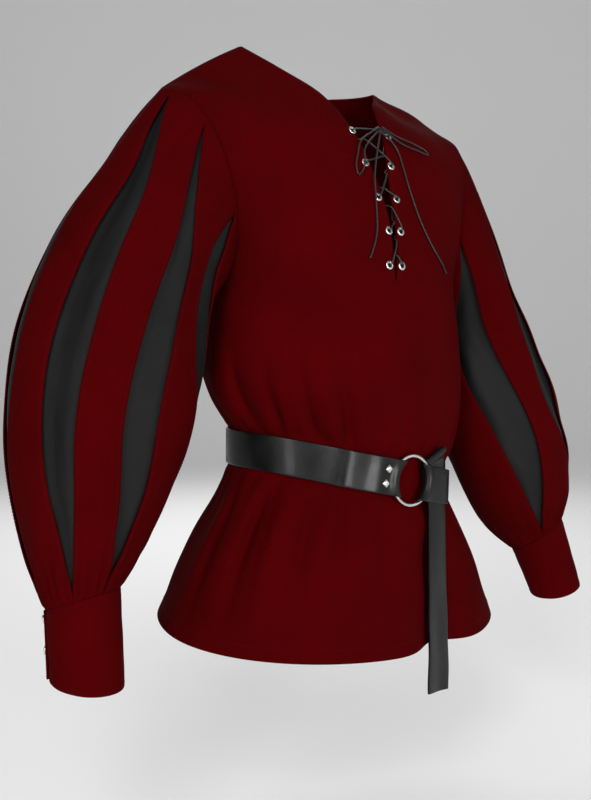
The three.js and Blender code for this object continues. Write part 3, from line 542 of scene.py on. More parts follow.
def new_material(name, surface):
    """A material with a Principled shader whose constant values are `surface`."""
    material = bpy.data.materials.new(name)
    material.use_nodes = True
    tree = material.node_tree
    tree.nodes.clear()
    shader = node(tree, "ShaderNodeBsdfPrincipled", surface)
    node(tree, "ShaderNodeOutputMaterial", {"Surface": shader.outputs[0]})
    return material, tree, shader


def flat_place(tree):
    """Where a point lies on the piece as it was cut flat, in metres."""
    return node(tree, "ShaderNodeUVMap", uv_map="flat").outputs["UV"]


def solid_place(tree):
    return node(tree, "ShaderNodeTexCoord").outputs["Object"]


def bumped(tree, shader, layers):
    """Chains bumps, each a (height socket, strength, depth in metres), into the shader."""
    normal = None
    for height, strength, depth in layers:
        inputs = {"Height": height, "Strength": strength, "Distance": depth}
        if normal is not None:
            inputs["Normal"] = normal
        normal = node(tree, "ShaderNodeBump", inputs).outputs["Normal"]
    tree.links.new(normal, shader.inputs["Normal"])


def diagonal_lines(tree, vector, pitch):
    """Parallel lines `pitch` metres apart. A wave texture has 20 lines to a turn of 2 pi."""
    scale = 2 * math.pi / (20 * pitch)
    inputs = {"Vector": vector, "Scale": scale, "Distortion": 0.6, "Detail": 1.0, "Detail Scale": 1.5}
    made = node(tree, "ShaderNodeTexWave", inputs, wave_type="BANDS", bands_direction="DIAGONAL")
    return made.outputs["Fac"]


def woven_material(name, dark, light, pitch, surface, slub=0.6):
    """Twill: diagonal wales `pitch` metres apart, with slubs and slow changes of shade."""
    material, tree, shader = new_material(name, surface)
    flat, place = flat_place(tree), solid_place(tree)
    wales = diagonal_lines(tree, flat, pitch)
    grain = noise(tree, flat, 900.0, 3.0)
    shade = noise(tree, place, 9.0, 5.0, 0.6)
    weights = ((wales, 0.35), (grain, slub), (shade, 0.9))
    weave, slubs, cloud = (maths(tree, "MULTIPLY", value, weight) for value, weight in weights)
    tone = ranged(tree, maths(tree, "ADD", maths(tree, "ADD", weave, slubs), cloud), 0.45, 1.35)
    colour = ramp(tree, tone, [(0.0, linear(dark)), (1.0, linear(light))])
    tree.links.new(colour, shader.inputs["Base Color"])
    crumple = noise(tree, place, 38.0, 4.0, 0.55)
    bumped(tree, shader, [(crumple, 0.35, 0.004), (wales, 0.5, 0.0003), (grain, 0.3, 0.0003)])
    return material


def leather_material(name, dark, light, surface):
    """Finished leather: fine pebbled grain, soft creases across it, and shade that wear has varied."""
    material, tree, shader = new_material(name, surface)
    flat = flat_place(tree)
    pebble = node(tree, "ShaderNodeTexVoronoi", {"Vector": flat, "Scale": 700.0}, feature="SMOOTH_F1")
    creases = noise(tree, flat, 60.0, 6.0, 0.62)
    worn = noise(tree, flat, 22.0, 4.0)
    colour = ramp(tree, worn, [(0.35, linear(dark)), (0.7, linear(light))])
    tree.links.new(colour, shader.inputs["Base Color"])
    tree.links.new(ranged(tree, worn, 0.3, 0.75, 0.26, 0.46), shader.inputs["Roughness"])
    bumped(tree, shader, [(creases, 0.3, 0.0012), (pebble.outputs["Distance"], 0.35, 0.0002)])
    return material


def metal_material(name, colour, surface):
    """Plated steel: polished, with faint rubbing marks and dull patches."""
    material, tree, shader = new_material(name, {**surface, "Base Color": linear(colour)})
    rubbed = noise(tree, solid_place(tree), 400.0, 5.0)
    tree.links.new(ranged(tree, rubbed, 0.3, 0.8, 0.12, 0.36), shader.inputs["Roughness"])
    bumped(tree, shader, [(rubbed, 0.12, 0.0002)])
    return material


def cord_material(name, dark, light, pitch, surface):
    """Waxed cord: strands that wind round it, `pitch` metres to a turn."""
    material, tree, shader = new_material(name, surface)
    strands = diagonal_lines(tree, flat_place(tree), pitch)
    colour = ramp(tree, strands, [(0.2, linear(dark)), (0.9, linear(light))])
    tree.links.new(colour, shader.inputs["Base Color"])
    bumped(tree, shader, [(strands, 0.8, 0.0004)])
    return material


# Dark red cotton twill of the body, sleeves and cuffs. Its wales are about 0.5 mm apart, and are drawn
# twice as coarse so that they show. The sateen's weave is coarser than life too.
red_twill = woven_material("cotton_twill_dark_red", "#2d0001", "#460002", 0.0011, {
    "Roughness": 0.92,
    "Sheen Weight": 0.01,
    "Sheen Roughness": 0.45,
    "Sheen Tint": linear("#7a1a1e"),
    "Specular IOR Level": 0.02,
})
# Black cotton sateen of the gores, which shines a little on its folds.
black_sateen = woven_material("cotton_sateen_black", "#070708", "#121213", 0.0007, {
    "Roughness": 0.55,
    "Sheen Weight": 0.01,
    "Sheen Roughness": 0.4,
    "Specular IOR Level": 0.13,
}, slub=0.4)
# Black bridle leather with a glossy finish.
leather_surface = {"Specular IOR Level": 0.2, "Coat Weight": 0.06, "Coat Roughness": 0.12}
belt_leather = leather_material("bridle_leather_black", "#030303", "#0c0c0d", leather_surface)
# Nickel-plated steel of the ring, studs and eyelets.
nickel_plate = metal_material("nickel_plated_steel", "#c9c9c6", {"Metallic": 1.0})
# Dark brown waxed cotton cord of the lace.
cord_surface = {"Roughness": 0.38, "Specular IOR Level": 0.5}
waxed_cord = cord_material("waxed_cotton_cord", "#060505", "#151110", 0.0016, cord_surface)
# Dark red polyester sewing thread.
thread_surface = {"Base Color": linear("#3a0003"), "Roughness": 0.7, "Specular IOR Level": 0.1}
sewing_thread = new_material("sewing_thread_dark_red", thread_surface)[0]

# ---------------------------------------------------------------- camera

CAMERA_PLACE = Vector((-0.710, -0.942, -0.350))
CAMERA_LENS = 42.5  # on a 36 mm long side
CAMERA_AIM = Vector((0.6018, 0.7986, 0))  # 37 degrees to the wearer's right of the front, and level
CAMERA_SHIFT = (-0.0244, -0.075)

camera = added("camera", bpy.data.cameras.new("camera"))
camera.data.lens = CAMERA_LENS
camera.data.shift_x, camera.data.shift_y = CAMERA_SHIFT
camera.location = CAMERA_PLACE
camera.rotation_euler = CAMERA_AIM.to_track_quat("-Z", "Y").to_euler()
bpy.context.scene.camera = camera

# ---------------------------------------------------------------- front and back

u_steps = np.linspace(0, 1, BODY_COLUMNS + 1)
ring_steps = [k + j / ring["steps"] for k, ring in enumerate(BODY[:-1]) for j in range(ring["steps"])]
chest_steps = np.linspace(0, 180 / DEGREES_PER_RING, CHEST_ROWS) + ARMPIT_HEIGHT
body_height = np.concatenate([ring_steps, chest_steps])  # of the mesh rows, hem first
nominal_z = track(range(len(BODY)), column(BODY, "z"))

CREASE_SCALE, EASE_DEPTH = 1.5, 1.5
GATHERS, GATHER_DEPTH, GATHER_FADE = 31, 2.0, 26  # how many to a radian, their depth and their reach
RING_RISE = 38  # from one armhole step to the next


def crease_body(facing, side, u, height):
    """How far the finer creases and the belt's gathers move half a body panel."""
    angle = ((0 if facing > 0 else 180) + facing * side * 90 * u)[None, :]
    z = nominal_z(np.minimum(height, ARMPIT_HEIGHT))[:, None]
    depth = fold_depth(CREASES, angle, z)
    from_belt = np.abs(z - BELT_LEVEL) - BELT_REACH
    gather = np.exp(-np.maximum(from_belt, 0) / GATHER_FADE) * smooth(from_belt, 0, 9)
    pleats = np.sin(np.radians(angle) * GATHERS + 2.1 * ripple(angle / 21, z / 60, 5))
    chest = np.maximum(height - ARMPIT_HEIGHT, 0)[:, None] * RING_RISE
    ease = ripple(angle / 17, (z + chest) / 34, 11) * EASE_DEPTH
    edge = smooth(1 - u[None, :], 0, 0.06) * smooth(height[:, None], 0, 0.4)
    edge = edge * smooth(height[-1] - height[:, None], 0, 0.4)
    return (pleats * gather * GATHER_DEPTH - depth * CREASE_SCALE + ease * (1 - gather)) * edge


EASE_REACH, EASE_BLUR = 46, 11  # in mesh rows


def eased(p, u, row):
    """Smooths the columns of a grid where the chest meets the body's rings, but not its seam edge."""
    span = np.arange(-3 * EASE_BLUR, 3 * EASE_BLUR + 1)
    kernel = np.exp(-0.5 * (span / EASE_BLUR) ** 2)
    padded = np.pad(p, ((len(span) // 2,) * 2, (0, 0), (0, 0)), mode="edge")
    blurred = sum(k * padded[i : i + len(p)] for i, k in enumerate(kernel / kernel.sum()))
    near = np.exp(-(((np.arange(len(p)) - row) / EASE_REACH) ** 2))[:, None] * (1 - u[None, :] ** 5)
    return mix(p, blurred, near[..., None])


def body_panel(edge, facing, first, split_at):
    """The two halves of a front or back panel, and the height where they part."""
    u, height = u_steps, body_height
    split = ARMPIT_HEIGHT + abs(split_at - first) / DEGREES_PER_RING
    whole = height <= split
    halves = {side: body_half(edge, facing, side, first, u, height) for side in (RIGHT, LEFT)}
    centre = (halves[RIGHT][whole, 0] + halves[LEFT][whole, 0]) / 2
    armpit_row = int(np.searchsorted(height, ARMPIT_HEIGHT))
    sheets = []
    for side, p in halves.items():
        p[whole, 0] = centre
        sheet = Sheet(eased(eased(p, u, armpit_row), u, armpit_row), side * facing)
        move = crease_body(facing, side, u, height)
        sheets.append(sheet.push(np.where(whole[:, None], move, move * smooth(u[None, :], 0, 0.05))))
    middle = (sheets[0].p[whole, 0] + sheets[1].p[whole, 0]) / 2
    normal = unit(sheets[0].n[whole, 0] + sheets[1].n[whole, 0])
    for sheet in sheets:
        sheet.p[whole, 0], sheet.n[whole, 0] = middle, normal
    return sheets, split


front_halves, front_split = body_panel(FRONT_EDGE, 1, -90, -70)
back_halves, back_split = body_panel(BACK_EDGE, -1, 270, 125)
join_normals(front_halves + back_halves)
front_cloth = dress(shell("front_cloth", front_halves, CLOTH, red_twill), "red_twill", "front")
back_cloth = dress(shell("back_cloth", back_halves, CLOTH, red_twill), "red_twill", "back")

front_tree = BVHTree.FromPolygons(
    [v.co[:] for v in front_cloth.data.vertices], [p.vertices[:] for p in front_cloth.data.polygons]
)


# ---------------------------------------------------------------- lace

FEELERS = ((0, 0), (-3, 0), (3, 0), (0, -3), (0, 3))  # round a place on the cloth
AHEAD = -0.4  # y of a place in front of the shirt, in metres


def on_front(x, z, lift=0):
    """The middle of the front's cloth, raised by `lift`, and its outward direction at x and z."""
    starts = [Vector(((x + dx) * MM, AHEAD, (z + dz) * MM)) for dx, dz in FEELERS]
    hits = [front_tree.ray_cast(start, Vector((0, 1, 0))) for start in starts]
    out = unit(np.sum([hit[1] for hit in hits if hit[0]], axis=0))
    return np.array(hits[0][0]) / MM + out * (lift - CLOTH / 2), out


EYELETS = table("right left z", [
    [-16, 39, -107],
    [-10.5, 28.5, -146],
    [-4, 24, -187],
    [1.2, 19.2, -226],
    [-4.6, 14, -266],
])
eyelet_seats = [{word: on_front(row[word], row["z"]) for word in ("right", "left")} for row in EYELETS]

KNOT_AT = np.array([18, -100, -103])
KNOT_REACH = 5.4  # from its middle to where a cord meets it
THROUGH = 3.9  # how far the cord stands off the cloth's middle beside an eyelet
SLIT_CLEAR = 2.7  # how far from the slit's edge it crosses over
EDGE_REACH, OVER_EDGE, UNDER_EDGE = 2, 2.2, 2.4  # before and past the edge, above and below the cloth
slit = tracks(sorted(FRONT_EDGE, key=lambda row: row["z"]), "z")


def knot_exit(turn, depth):
    """Where a cord meets the knot, seen from the front: 0 to the wearer's left, 90 up."""
    way = np.array([math.cos(math.radians(turn)), depth, math.sin(math.radians(turn))])
    return KNOT_AT + unit(way) * KNOT_REACH


def lacing(first, dive, ride, turn, depth):
    """One half of the lace: out of each eyelet to the front, over the slit, under the far edge."""
    seats = eyelet_seats[::-1]
    word = first
    start = (seats[0]["right"][0] + seats[0]["left"][0]) / 2
    lean = -0.5 if first == "right" else 0.5
    points = [start + [lean, THROUGH + 1, 0], seats[0][word][0] - seats[0][word][1] * THROUGH]
    for k, row in enumerate(seats):
        here, out = row[word]
        points += [here, here + out * THROUGH]
        word = "left" if word == "right" else "right"
        if k + 1 == len(seats):
            break
        there, there_out = seats[k + 1][word]
        under = mix(here[2], there[2], dive)
        half = (1 if word == "left" else -1) * max(float(slit["x"](under)) - SLIT_CLEAR, 0)
        gap = np.array([float(slit["shift"](under)) + half, float(slit["y"](under)), under])
        onward = unit(there - here) * EDGE_REACH
        points.append((here + gap) / 2 + out * ride)
        points.append(gap - onward + there_out * OVER_EDGE)
        points.append(gap + onward - there_out * UNDER_EDGE)
        points.append(there - there_out * THROUGH)
    stop = knot_exit(turn, depth)
    return points + [(points[-1] + stop) / 2 + [0, -2, 0], stop]


# Each half: where it dives under the far edge, how high it rides, and how it enters the knot.
LACINGS = {"right": (0.76, 5.4, 180, 0.2), "left": (0.3, 2.5, -12, 0.5)}

# Each free cord: where it leaves the knot, and where a loop comes back to it, as (turn, depth), and
# its course on the front between, as (x, z, height over the cloth).
FREE_CORDS = {
    "lace_end_long": {
        "exits": [(-48, -0.6)],
        "run": [
            (36, -117, 6), (44, -127, 3.4), (45.5, -146, 3), (47, -178, 3),
            (54.6, -215, 3), (69, -243, 3), (84, -258, 3), (97, -270, 3),
        ],
    },
    "lace_end_short": {
        "exits": [(-110, -1.6)],
        "run": [(-6, -163, 7), (-13, -197, 4), (-18.6, -228, 2.6), (-26, -246, 2.6), (-33, -259, 2.6)],
    },
    "lace_loop_right": {
        "exits": [(40, -0.8), (0, -1.2)],
        "run": [
            (45, -108, 6), (62, -110, 4), (80, -113, 3), (96, -119, 2.6),
            (98, -124, 2.6), (80, -121, 3), (60, -118, 4), (45, -114, 6),
        ],
    },
    "lace_loop_left": {
        "exits": [(150, -0.9), (-150, -0.9)],
        "run": [
            (-15, -124, 7), (-22, -138, 5), (-28, -154, 3), (-27, -163, 2.6),
            (-22, -160, 3), (-16, -150, 6), (-13, -134, 8),
        ],
    },
}


def catmull(points, step):
    """A centripetal Catmull-Rom curve through points, sampled about every `step` millimetres."""
    p = np.array(points, float)
    p = np.concatenate([[2 * p[0] - p[1]], p, [2 * p[-1] - p[-2]]])
    knots = np.concatenate([[0], np.cumsum(np.linalg.norm(np.diff(p, axis=0), axis=1) ** 0.5)])
    line = []
    for i in range(1, len(p) - 2):
        count = max(2, round(np.linalg.norm(p[i + 1] - p[i]) / step))
        t = np.linspace(knots[i], knots[i + 1], count, endpoint=False)[:, None]
        k = knots[i - 1 : i + 3]
        a = [mix(p[i - 1 + j], p[i + j], (t - k[j]) / (k[j + 1] - k[j])) for j in range(3)]
        b = [mix(a[j], a[j + 1], (t - k[j]) / (k[j + 2] - k[j])) for j in range(2)]
        line.append(mix(b[0], b[1], (t - k[1]) / (k[2] - k[1])))
    return np.concatenate(line + [p[-2:-1]])


CORD_SIDES = 12
CORD_END = ((0.47, 0.35), (0.33, 0.75), (0.155, 0.95))  # of the radius: beyond the end, and across


def tube(name, line, radius, material):
    """A round cord along a line of points, with domed ends."""
    line = np.asarray(line, float)
    tangent = unit(np.gradient(line, axis=0))
    frame_x = [unit(np.cross(tangent[0], [0.3, 0.2, 1.0]))]
    for t in tangent[1:]:
        frame_x.append(unit(frame_x[-1] - t * np.dot(frame_x[-1], t)))
    frame_y = np.cross(tangent, frame_x)
    frame_x, frame_y = (np.pad(axis, ((3, 3), (0, 0)), mode="edge") for axis in (frame_x, frame_y))
    beyond, across = np.array(CORD_END).T
    ends = (line[0], -tangent[0]), (line[-1], tangent[-1])
    first, last = (at + way * radius * beyond[:, None] for at, way in ends)
    radii = radius * np.concatenate([across, np.ones(len(line)), across[::-1]])
    line = np.concatenate([first, line, last[::-1]])
    turn = np.linspace(0, 2 * math.pi, CORD_SIDES + 1)
    ring = np.cos(turn)[:, None] * frame_x[:, None] + np.sin(turn)[:, None] * frame_y[:, None]
    points = line[:, None] + ring * radii[:, None, None]
    along = np.broadcast_to(steps_along(line[:, None], 0), points.shape[:2])
    around = np.broadcast_to(turn / (2 * math.pi) * 6.4, points.shape[:2])
    rows, columns = points.shape[:2]
    caps = [[row * columns + k for k in range(columns - 1)] for row in (0, rows - 1)]
    faces = quads(rows, columns).tolist() + caps
    uv = np.stack([around, along], -1).reshape(-1, 2)
    return weld(mesh_piece(name, points.reshape(-1, 3), faces, material, uv))


def free_cord(name):
    """A free end or a loop of the bow, from the knot along the front."""
    exits = [knot_exit(*way) for way in FREE_CORDS[name]["exits"]]
    run = [on_front(*place)[0] for place in FREE_CORDS[name]["run"]]
    line = catmull(exits[:1] + run + exits[1:], 2)
    dress(tube(name + "_cord", line, CORD / 2, waxed_cord), "lace_cord", name)


for cord_name in FREE_CORDS:
    free_cord(cord_name)
for word, course in LACINGS.items():
    line = catmull(lacing(word, *course), 1.5)
    dress(tube(f"lacing_{word}", line, CORD / 2, waxed_cord), "lace_cord", f"lace_from_{word}")

# ---------------------------------------------------------------- sleeves

# Each slash: its angle at the armhole, a fifth of the way down, lower down and at the cuff, its
# widest gap, and where along the sleeve it is widest.
SLASH_COLUMNS = "name top upper middle cuff width widest"
SLASHES = {
    RIGHT: table(SLASH_COLUMNS, [
        ["inner_front", -10, -33, -68, -82, 54, 0.42],
        ["front", 42, 4, -1, -4, 37, 0.55],
        ["outer_front", 78, 49, 47, 43, 37, 0.45],
        ["outer_back", 113, 100, 101, 108, 44, 0.45],
        ["back", 180, 166, 164, 170, 46, 0.5],
        ["inner_back", 240, 236, 235, 232, 46, 0.5],
    ]),
    LEFT: table(SLASH_COLUMNS, [
        ["inner_front", -12, -40, -44, -66, 54, 0.55],
        ["front", 50, 40, 14, 20, 38, 0.45],
        ["outer_front", 84, 82, 70, 66, 38, 0.45],
        ["outer_back", 120, 124, 116, 116, 40, 0.45],
        ["back", 180, 164, 158, 158, 44, 0.5],
        ["inner_back", 240, 230, 216, 206, 44, 0.45],
    ]),
}
SLASH_RANGE = (0.015, 0.98)  # where the slashes start and end along the sleeve
SLASH_STEPS = 104
STRIP_STEPS = 16
UNDERLAP = 7  # how far a gore lies under the edges of its slash
GORE_DROP = 3.1  # how far a gore's edges lie below the red cloth's middle
PLEAT = table("across lift", [[-1, 0], [-0.35, 2.2], [0.3, -3.5], [1, 0]])
SLASH_STOPS = {"top": 0, "upper": 0.22, "middle": 0.62, "cuff": 1}  # places along the sleeve
SLASH_SWELL, SLASH_TAPER = 0.72, 1.1  # powers: full above the widest place, slender below it


def slash_centre(slash, t):
    return track(list(SLASH_STOPS.values()), [slash[stop] for stop in SLASH_STOPS])(t)


def slash_width(slash, t):
    f = np.clip((t - SLASH_RANGE[0]) / (SLASH_RANGE[1] - SLASH_RANGE[0]), 0, 1)
    widest = slash["widest"]
    bent = np.where(f < widest, 0.5 * f / widest, 1 - 0.5 * (1 - f) / (1 - widest))
    return slash["width"] * np.sin(math.pi * bent) ** np.where(f < widest, SLASH_SWELL, SLASH_TAPER)


def degrees_for(side, t, angle, length):
    """Degrees round a sleeve for a length along its ring."""
    chord = np.linalg.norm(sleeve_point(side, t, angle + 2) - sleeve_point(side, t, angle - 2), axis=-1)
    return length * 4 / chord


def slash_half(side, slash, t):
    return degrees_for(side, t, slash_centre(slash, t), slash_width(slash, t) / 2)


SLEEVE_WRINKLE = 2.0
SLEEVE_GATHERS, CUFF_GATHER, TOP_GATHER = 27, 1.7, 0.8  # how many to a radian, and their depths


def sleeve_ease(t, degrees):
    """Wrinkles of a sleeve: slow ones all over, fine gathers into the cuff and the armhole."""
    turn = np.radians(degrees)
    round_x, round_y = 3.4 * np.cos(turn), 3.4 * np.sin(turn)
    slow = ripple(round_x + 7 * t, round_y - 9 * t, 21) * SLEEVE_WRINKLE * smooth(t, 0, 0.14)
    gathers = np.sin(turn * SLEEVE_GATHERS + 1.6 * ripple(round_x, round_y + 3 * t, 8))
    cuff_end = smooth(t, 0.8, 0.97) * (1 - smooth(t, 0.985, 1))
    top_end = smooth(t, 0.01, 0.04) * (1 - smooth(t, 0.04, 0.2))
    return slow * (1 - smooth(t, 0.9, 0.99)) + gathers * (CUFF_GATHER * cuff_end + TOP_GATHER * top_end)


slash_rows = np.linspace(*SLASH_RANGE, SLASH_STEPS + 1)
above, below = np.linspace(0, SLASH_RANGE[0], 3)[:-1], np.linspace(SLASH_RANGE[1], 1, 4)[1:]
sleeve_rows = np.concatenate([above, slash_rows, below])


def sleeve_strips(side):
    """The red strips between the slashes, joined above and below them."""
    strips = []
    t = sleeve_rows
    slashes = SLASHES[side]
    for slash, after in zip(slashes, slashes[1:] + slashes[:1]):
        turn = 360 if after is slashes[0] else 0
        start = slash_centre(slash, t) + slash_half(side, slash, t)
        end = slash_centre(after, t) - slash_half(side, after, t) + turn
        angle = mix(start[:, None], end[:, None], np.linspace(0, 1, STRIP_STEPS + 1))
        rows = np.broadcast_to(t[:, None], angle.shape)
        strip = Sheet(sleeve_point(side, rows, angle), -side)
        strips.append(strip.push(sleeve_ease(rows, angle)))
    return strips


def gore_sheet(side, slash):
    """A black gore: its edges under the red cloth, its middle pleated."""
    across = np.linspace(-1, 1, 31)
    t = slash_rows[:, None]
    lap = degrees_for(side, slash_rows, slash_centre(slash, slash_rows), UNDERLAP)
    half = (slash_half(side, slash, slash_rows) + lap)[:, None]
    angle = slash_centre(slash, t) + across * half
    sheet = Sheet(sleeve_point(side, t, angle), -side)
    open_by = slash_width(slash, t) / slash["width"]
    lift = track(column(PLEAT, "across"), column(PLEAT, "lift"))(across)
    pleats = np.sin(across * 6.5 + 1.2 * ripple(across, t * 9, 3)) * (1 - across**2) * 0.6
    wrinkles = ripple(across * 2 + slash["top"], t * 26, 17) * (1 - across**2) * 0.8
    ease = sleeve_ease(t, angle) * across**2
    return sheet.push((lift + pleats + wrinkles) * open_by + ease - GORE_DROP)


sleeve_strip_sheets = {side: sleeve_strips(side) for side, word in SIDES}
for side, word in SIDES:
    cloth = shell(f"sleeve_{word}_cloth", sleeve_strip_sheets[side], CLOTH, red_twill)
    dress(cloth, "red_twill", f"sleeve_{word}")
    for slash in SLASHES[side]:
        name = f"gore_{word}_{slash['name']}"
        gore = shell(name + "_cloth", [gore_sheet(side, slash)], GORE_CLOTH, black_sateen)
        dress(gore, "black_twill", name)

# ---------------------------------------------------------------- cuffs

CUFF_START = 112  # the angle where the band starts
CUFF_TURN = 398.4  # how far round it goes, with its overlap
CUFF_FOOT = {
    RIGHT: {"fall": (-2, -13, -77), "slope_x": -0.12, "slope_y": 0.14},
    LEFT: {"fall": (25, -12, -77), "slope_x": 0.3, "slope_y": 0},
}
STUD_DOWN = (0.14, 0.6)  # places of the press studs along the cuff's height
STUD_TURN = 10


def cuff_point(side, turn, down, lift=0):
    """A point of the cuff's band, turned on by some degrees from its outer end. It winds inwards."""
    end = {name: float(curve(1.0)) for name, curve in sleeve_ring[side].items()}
    centre = np.array([side * end["x"], end["y"], end["z"]])
    turn, down = np.broadcast_arrays(np.asarray(turn, float), np.asarray(down, float))
    spoke = sleeve_point(side, 1.0, CUFF_START + turn - end["twist"]) - centre
    length = np.linalg.norm(spoke, axis=-1, keepdims=True)
    wind = CUFF_WALL / 2 + 0.4 - (CUFF_WALL + 0.5) * turn / 360 + lift
    spoke = spoke * (length + wind[..., None]) / length
    foot = CUFF_FOOT[side]
    sloped = foot["slope_x"] * spoke[..., 0] + foot["slope_y"] * spoke[..., 1]
    spoke[..., 2] = mix(spoke[..., 2], sloped, down)
    return centre + spoke + down[..., None] * np.array(foot["fall"])


def cuff_sheet(side):
    turn = np.linspace(0, CUFF_TURN, 150)
    down = np.linspace(0, 1, 26)[:, None]
    sheet = Sheet(cuff_point(side, turn, down), -side)
    slack = smooth(np.minimum(turn, CUFF_TURN - turn), 0, 40) * smooth(down, 0, 0.1)
    give = ripple(np.cos(np.radians(turn)) * 2.4, np.sin(np.radians(turn)) * 2.4 + down * 5, 31)
    return sheet.push(give * 0.7 * slack)


def standing(at, axis):
    """A matrix whose z axis is along `axis`, at a point in millimetres, with its x axis level."""
    z = Vector(axis).normalized()
    x = Vector((0, 0, 1)).cross(z).normalized()
    y = z.cross(x)
    turn = Matrix((x, y, z)).transposed().to_4x4()
    return Matrix.Translation(Vector(at) * MM) @ turn


def lathe(name, outline, material, at, axis, segments=48):
    """A turned piece: a closed outline of (radius, height) spun round an axis."""
    turn = np.linspace(0, 2 * math.pi, segments, endpoint=False)
    ring = np.array([[(r * math.cos(a), r * math.sin(a), h) for a in turn] for r, h in outline])
    rows = len(outline)
    ids = np.arange(rows * segments).reshape(rows, segments)
    following = np.roll(ids, -1, axis=1)
    below, below_next = np.roll(ids, -1, axis=0), np.roll(following, -1, axis=0)
    faces = np.stack([ids, following, below_next, below], -1).reshape(-1, 4).tolist()
    place = np.array(standing(at, axis))
    points = ring.reshape(-1, 3) @ place[:3, :3].T + place[:3, 3] / MM
    return weld(mesh_piece(name, points, faces, material))


# Outlines as (radius, height).
PRESS_STUD = [
    (0.01, -0.4), (4.3, -0.4), (4.6, 0.1), (4.55, 0.7), (4.1, 1.35),
    (3.3, 1.65), (2.6, 1.45), (2.1, 1.0), (1.2, 1.1), (0.01, 1.4),
]
EYELET = [
    (2.3, -1.8), (3.2, -1.8), (3.2, 0.9), (5.1, 1.0), (5.2, 1.35),
    (4.7, 1.9), (3.8, 2.2), (3.0, 2.1), (2.45, 1.7), (2.3, 1.2),
]
cuff_sheets = {side: cuff_sheet(side) for side, word in SIDES}
for side, word in SIDES:
    cuff = shell(f"cuff_{word}_cloth", [cuff_sheets[side]], CUFF_WALL, red_twill)
    dress(soften(cuff, 0.7), "red_twill", f"cuff_{word}")
    for k, down in enumerate(STUD_DOWN):
        at = cuff_point(side, STUD_TURN, down, CUFF_WALL / 2 + 0.2)
        axis = cuff_point(side, STUD_TURN, down, CUFF_WALL / 2 + 5) - at
        stud = lathe(f"cuff_stud_{word}_{k + 1}_metal", PRESS_STUD, nickel_plate, at, axis)
        dress(stud, "plated_steel", f"cuff_stud_{word}_{k + 1}")

# ---------------------------------------------------------------- eyelets and knot

EYELET_HOLE = 3.3  # radius
HOLE_DEPTH = 12


def plugs(name, sides, radii, depth, places):
    """Straight or tapered plugs as one object, one centred on each place's matrix."""
    work = bmesh.new()
    for place in places:
        low, high = radii[0] * MM, radii[1] * MM
        sizes = {"segments": sides, "radius1": low, "radius2": high, "depth": depth * MM}
        bmesh.ops.create_cone(work, cap_ends=True, matrix=place, **sizes)
    mesh = bpy.data.meshes.new(name)
    work.to_mesh(mesh)
    work.free()
    return added(name, mesh)


def punch(piece, places, radius):
    """Cuts round holes through a piece."""
    tool = plugs("holes", 24, (radius, radius), HOLE_DEPTH, [standing(*place) for place in places])
    cut = piece.modifiers.new("holes", "BOOLEAN")
    cut.operation, cut.object, cut.solver = "DIFFERENCE", tool, "EXACT"
    apply_modifiers(piece)
    bpy.data.objects.remove(tool)


punch(front_cloth, [place for seat in eyelet_seats for place in seat.values()], EYELET_HOLE)
for k, seat in enumerate(eyelet_seats):
    for word, (at, out) in seat.items():
        name = f"eyelet_{word}_{k + 1}"
        dress(lathe(name + "_metal", EYELET, nickel_plate, at, out), "plated_steel", name)

# The knot: a trefoil, pulled flat, of slightly swollen cord.
KNOT_SCALE, KNOT_FLAT, KNOT_SWELL = 1.25, 0.9, 1.15
w = np.linspace(0, 2 * math.pi, 97)
wound = [np.sin(w) + 2 * np.sin(2 * w), -KNOT_FLAT * np.sin(3 * w), np.cos(w) - 2 * np.cos(2 * w)]
line = KNOT_AT + np.stack(wound, -1) * KNOT_SCALE
dress(tube("lace_knot_cord", line, CORD / 2 * KNOT_SWELL, waxed_cord), "lace_cord", "lace_knot")

# ---------------------------------------------------------------- belt

BELT_RING = next(ring for ring in BODY if ring["z"] == BELT_LEVEL)
MM_PER_DEGREE = 2.5  # along the belt, near the ring
RING_WIRE = 2
WIRE_NEAR = (-3.3, 8.6)  # angle and distance out of the ring's wire inside the two folds
WIRE_FAR = (17.2, 12.6)
FOLD = RING_WIRE + LEATHER / 2 + 2  # radius of a fold round the wire
PLY = LEATHER + 1  # from one ply to the next
ON_CLOTH = CLOTH / 2 + LEATHER / 2 + 1.3  # from the cloth's middle to the leather's middle


def belt_point(angle, out, rise=0):
    """Points of the belt; rise is measured square to the belt's own sloping line."""
    near = wrapped(angle)
    slope = (belt_line(near + 1) - belt_line(near - 1)) / (2 * MM_PER_DEGREE)
    p = ring_point(BELT_RING, angle - rise * slope / MM_PER_DEGREE, out)
    p[..., 2] = belt_line(near) + rise
    return p


def fold_round(angle, out, inward):
    """Half a turn of leather round the wire, from below it to above it."""
    turns = np.radians([-90, -55, -20, 20, 55, 90])
    reach, height = inward * FOLD / MM_PER_DEGREE, out - ON_CLOTH
    return [(angle + reach * math.cos(a), height + FOLD * math.sin(a), inward) for a in turns]


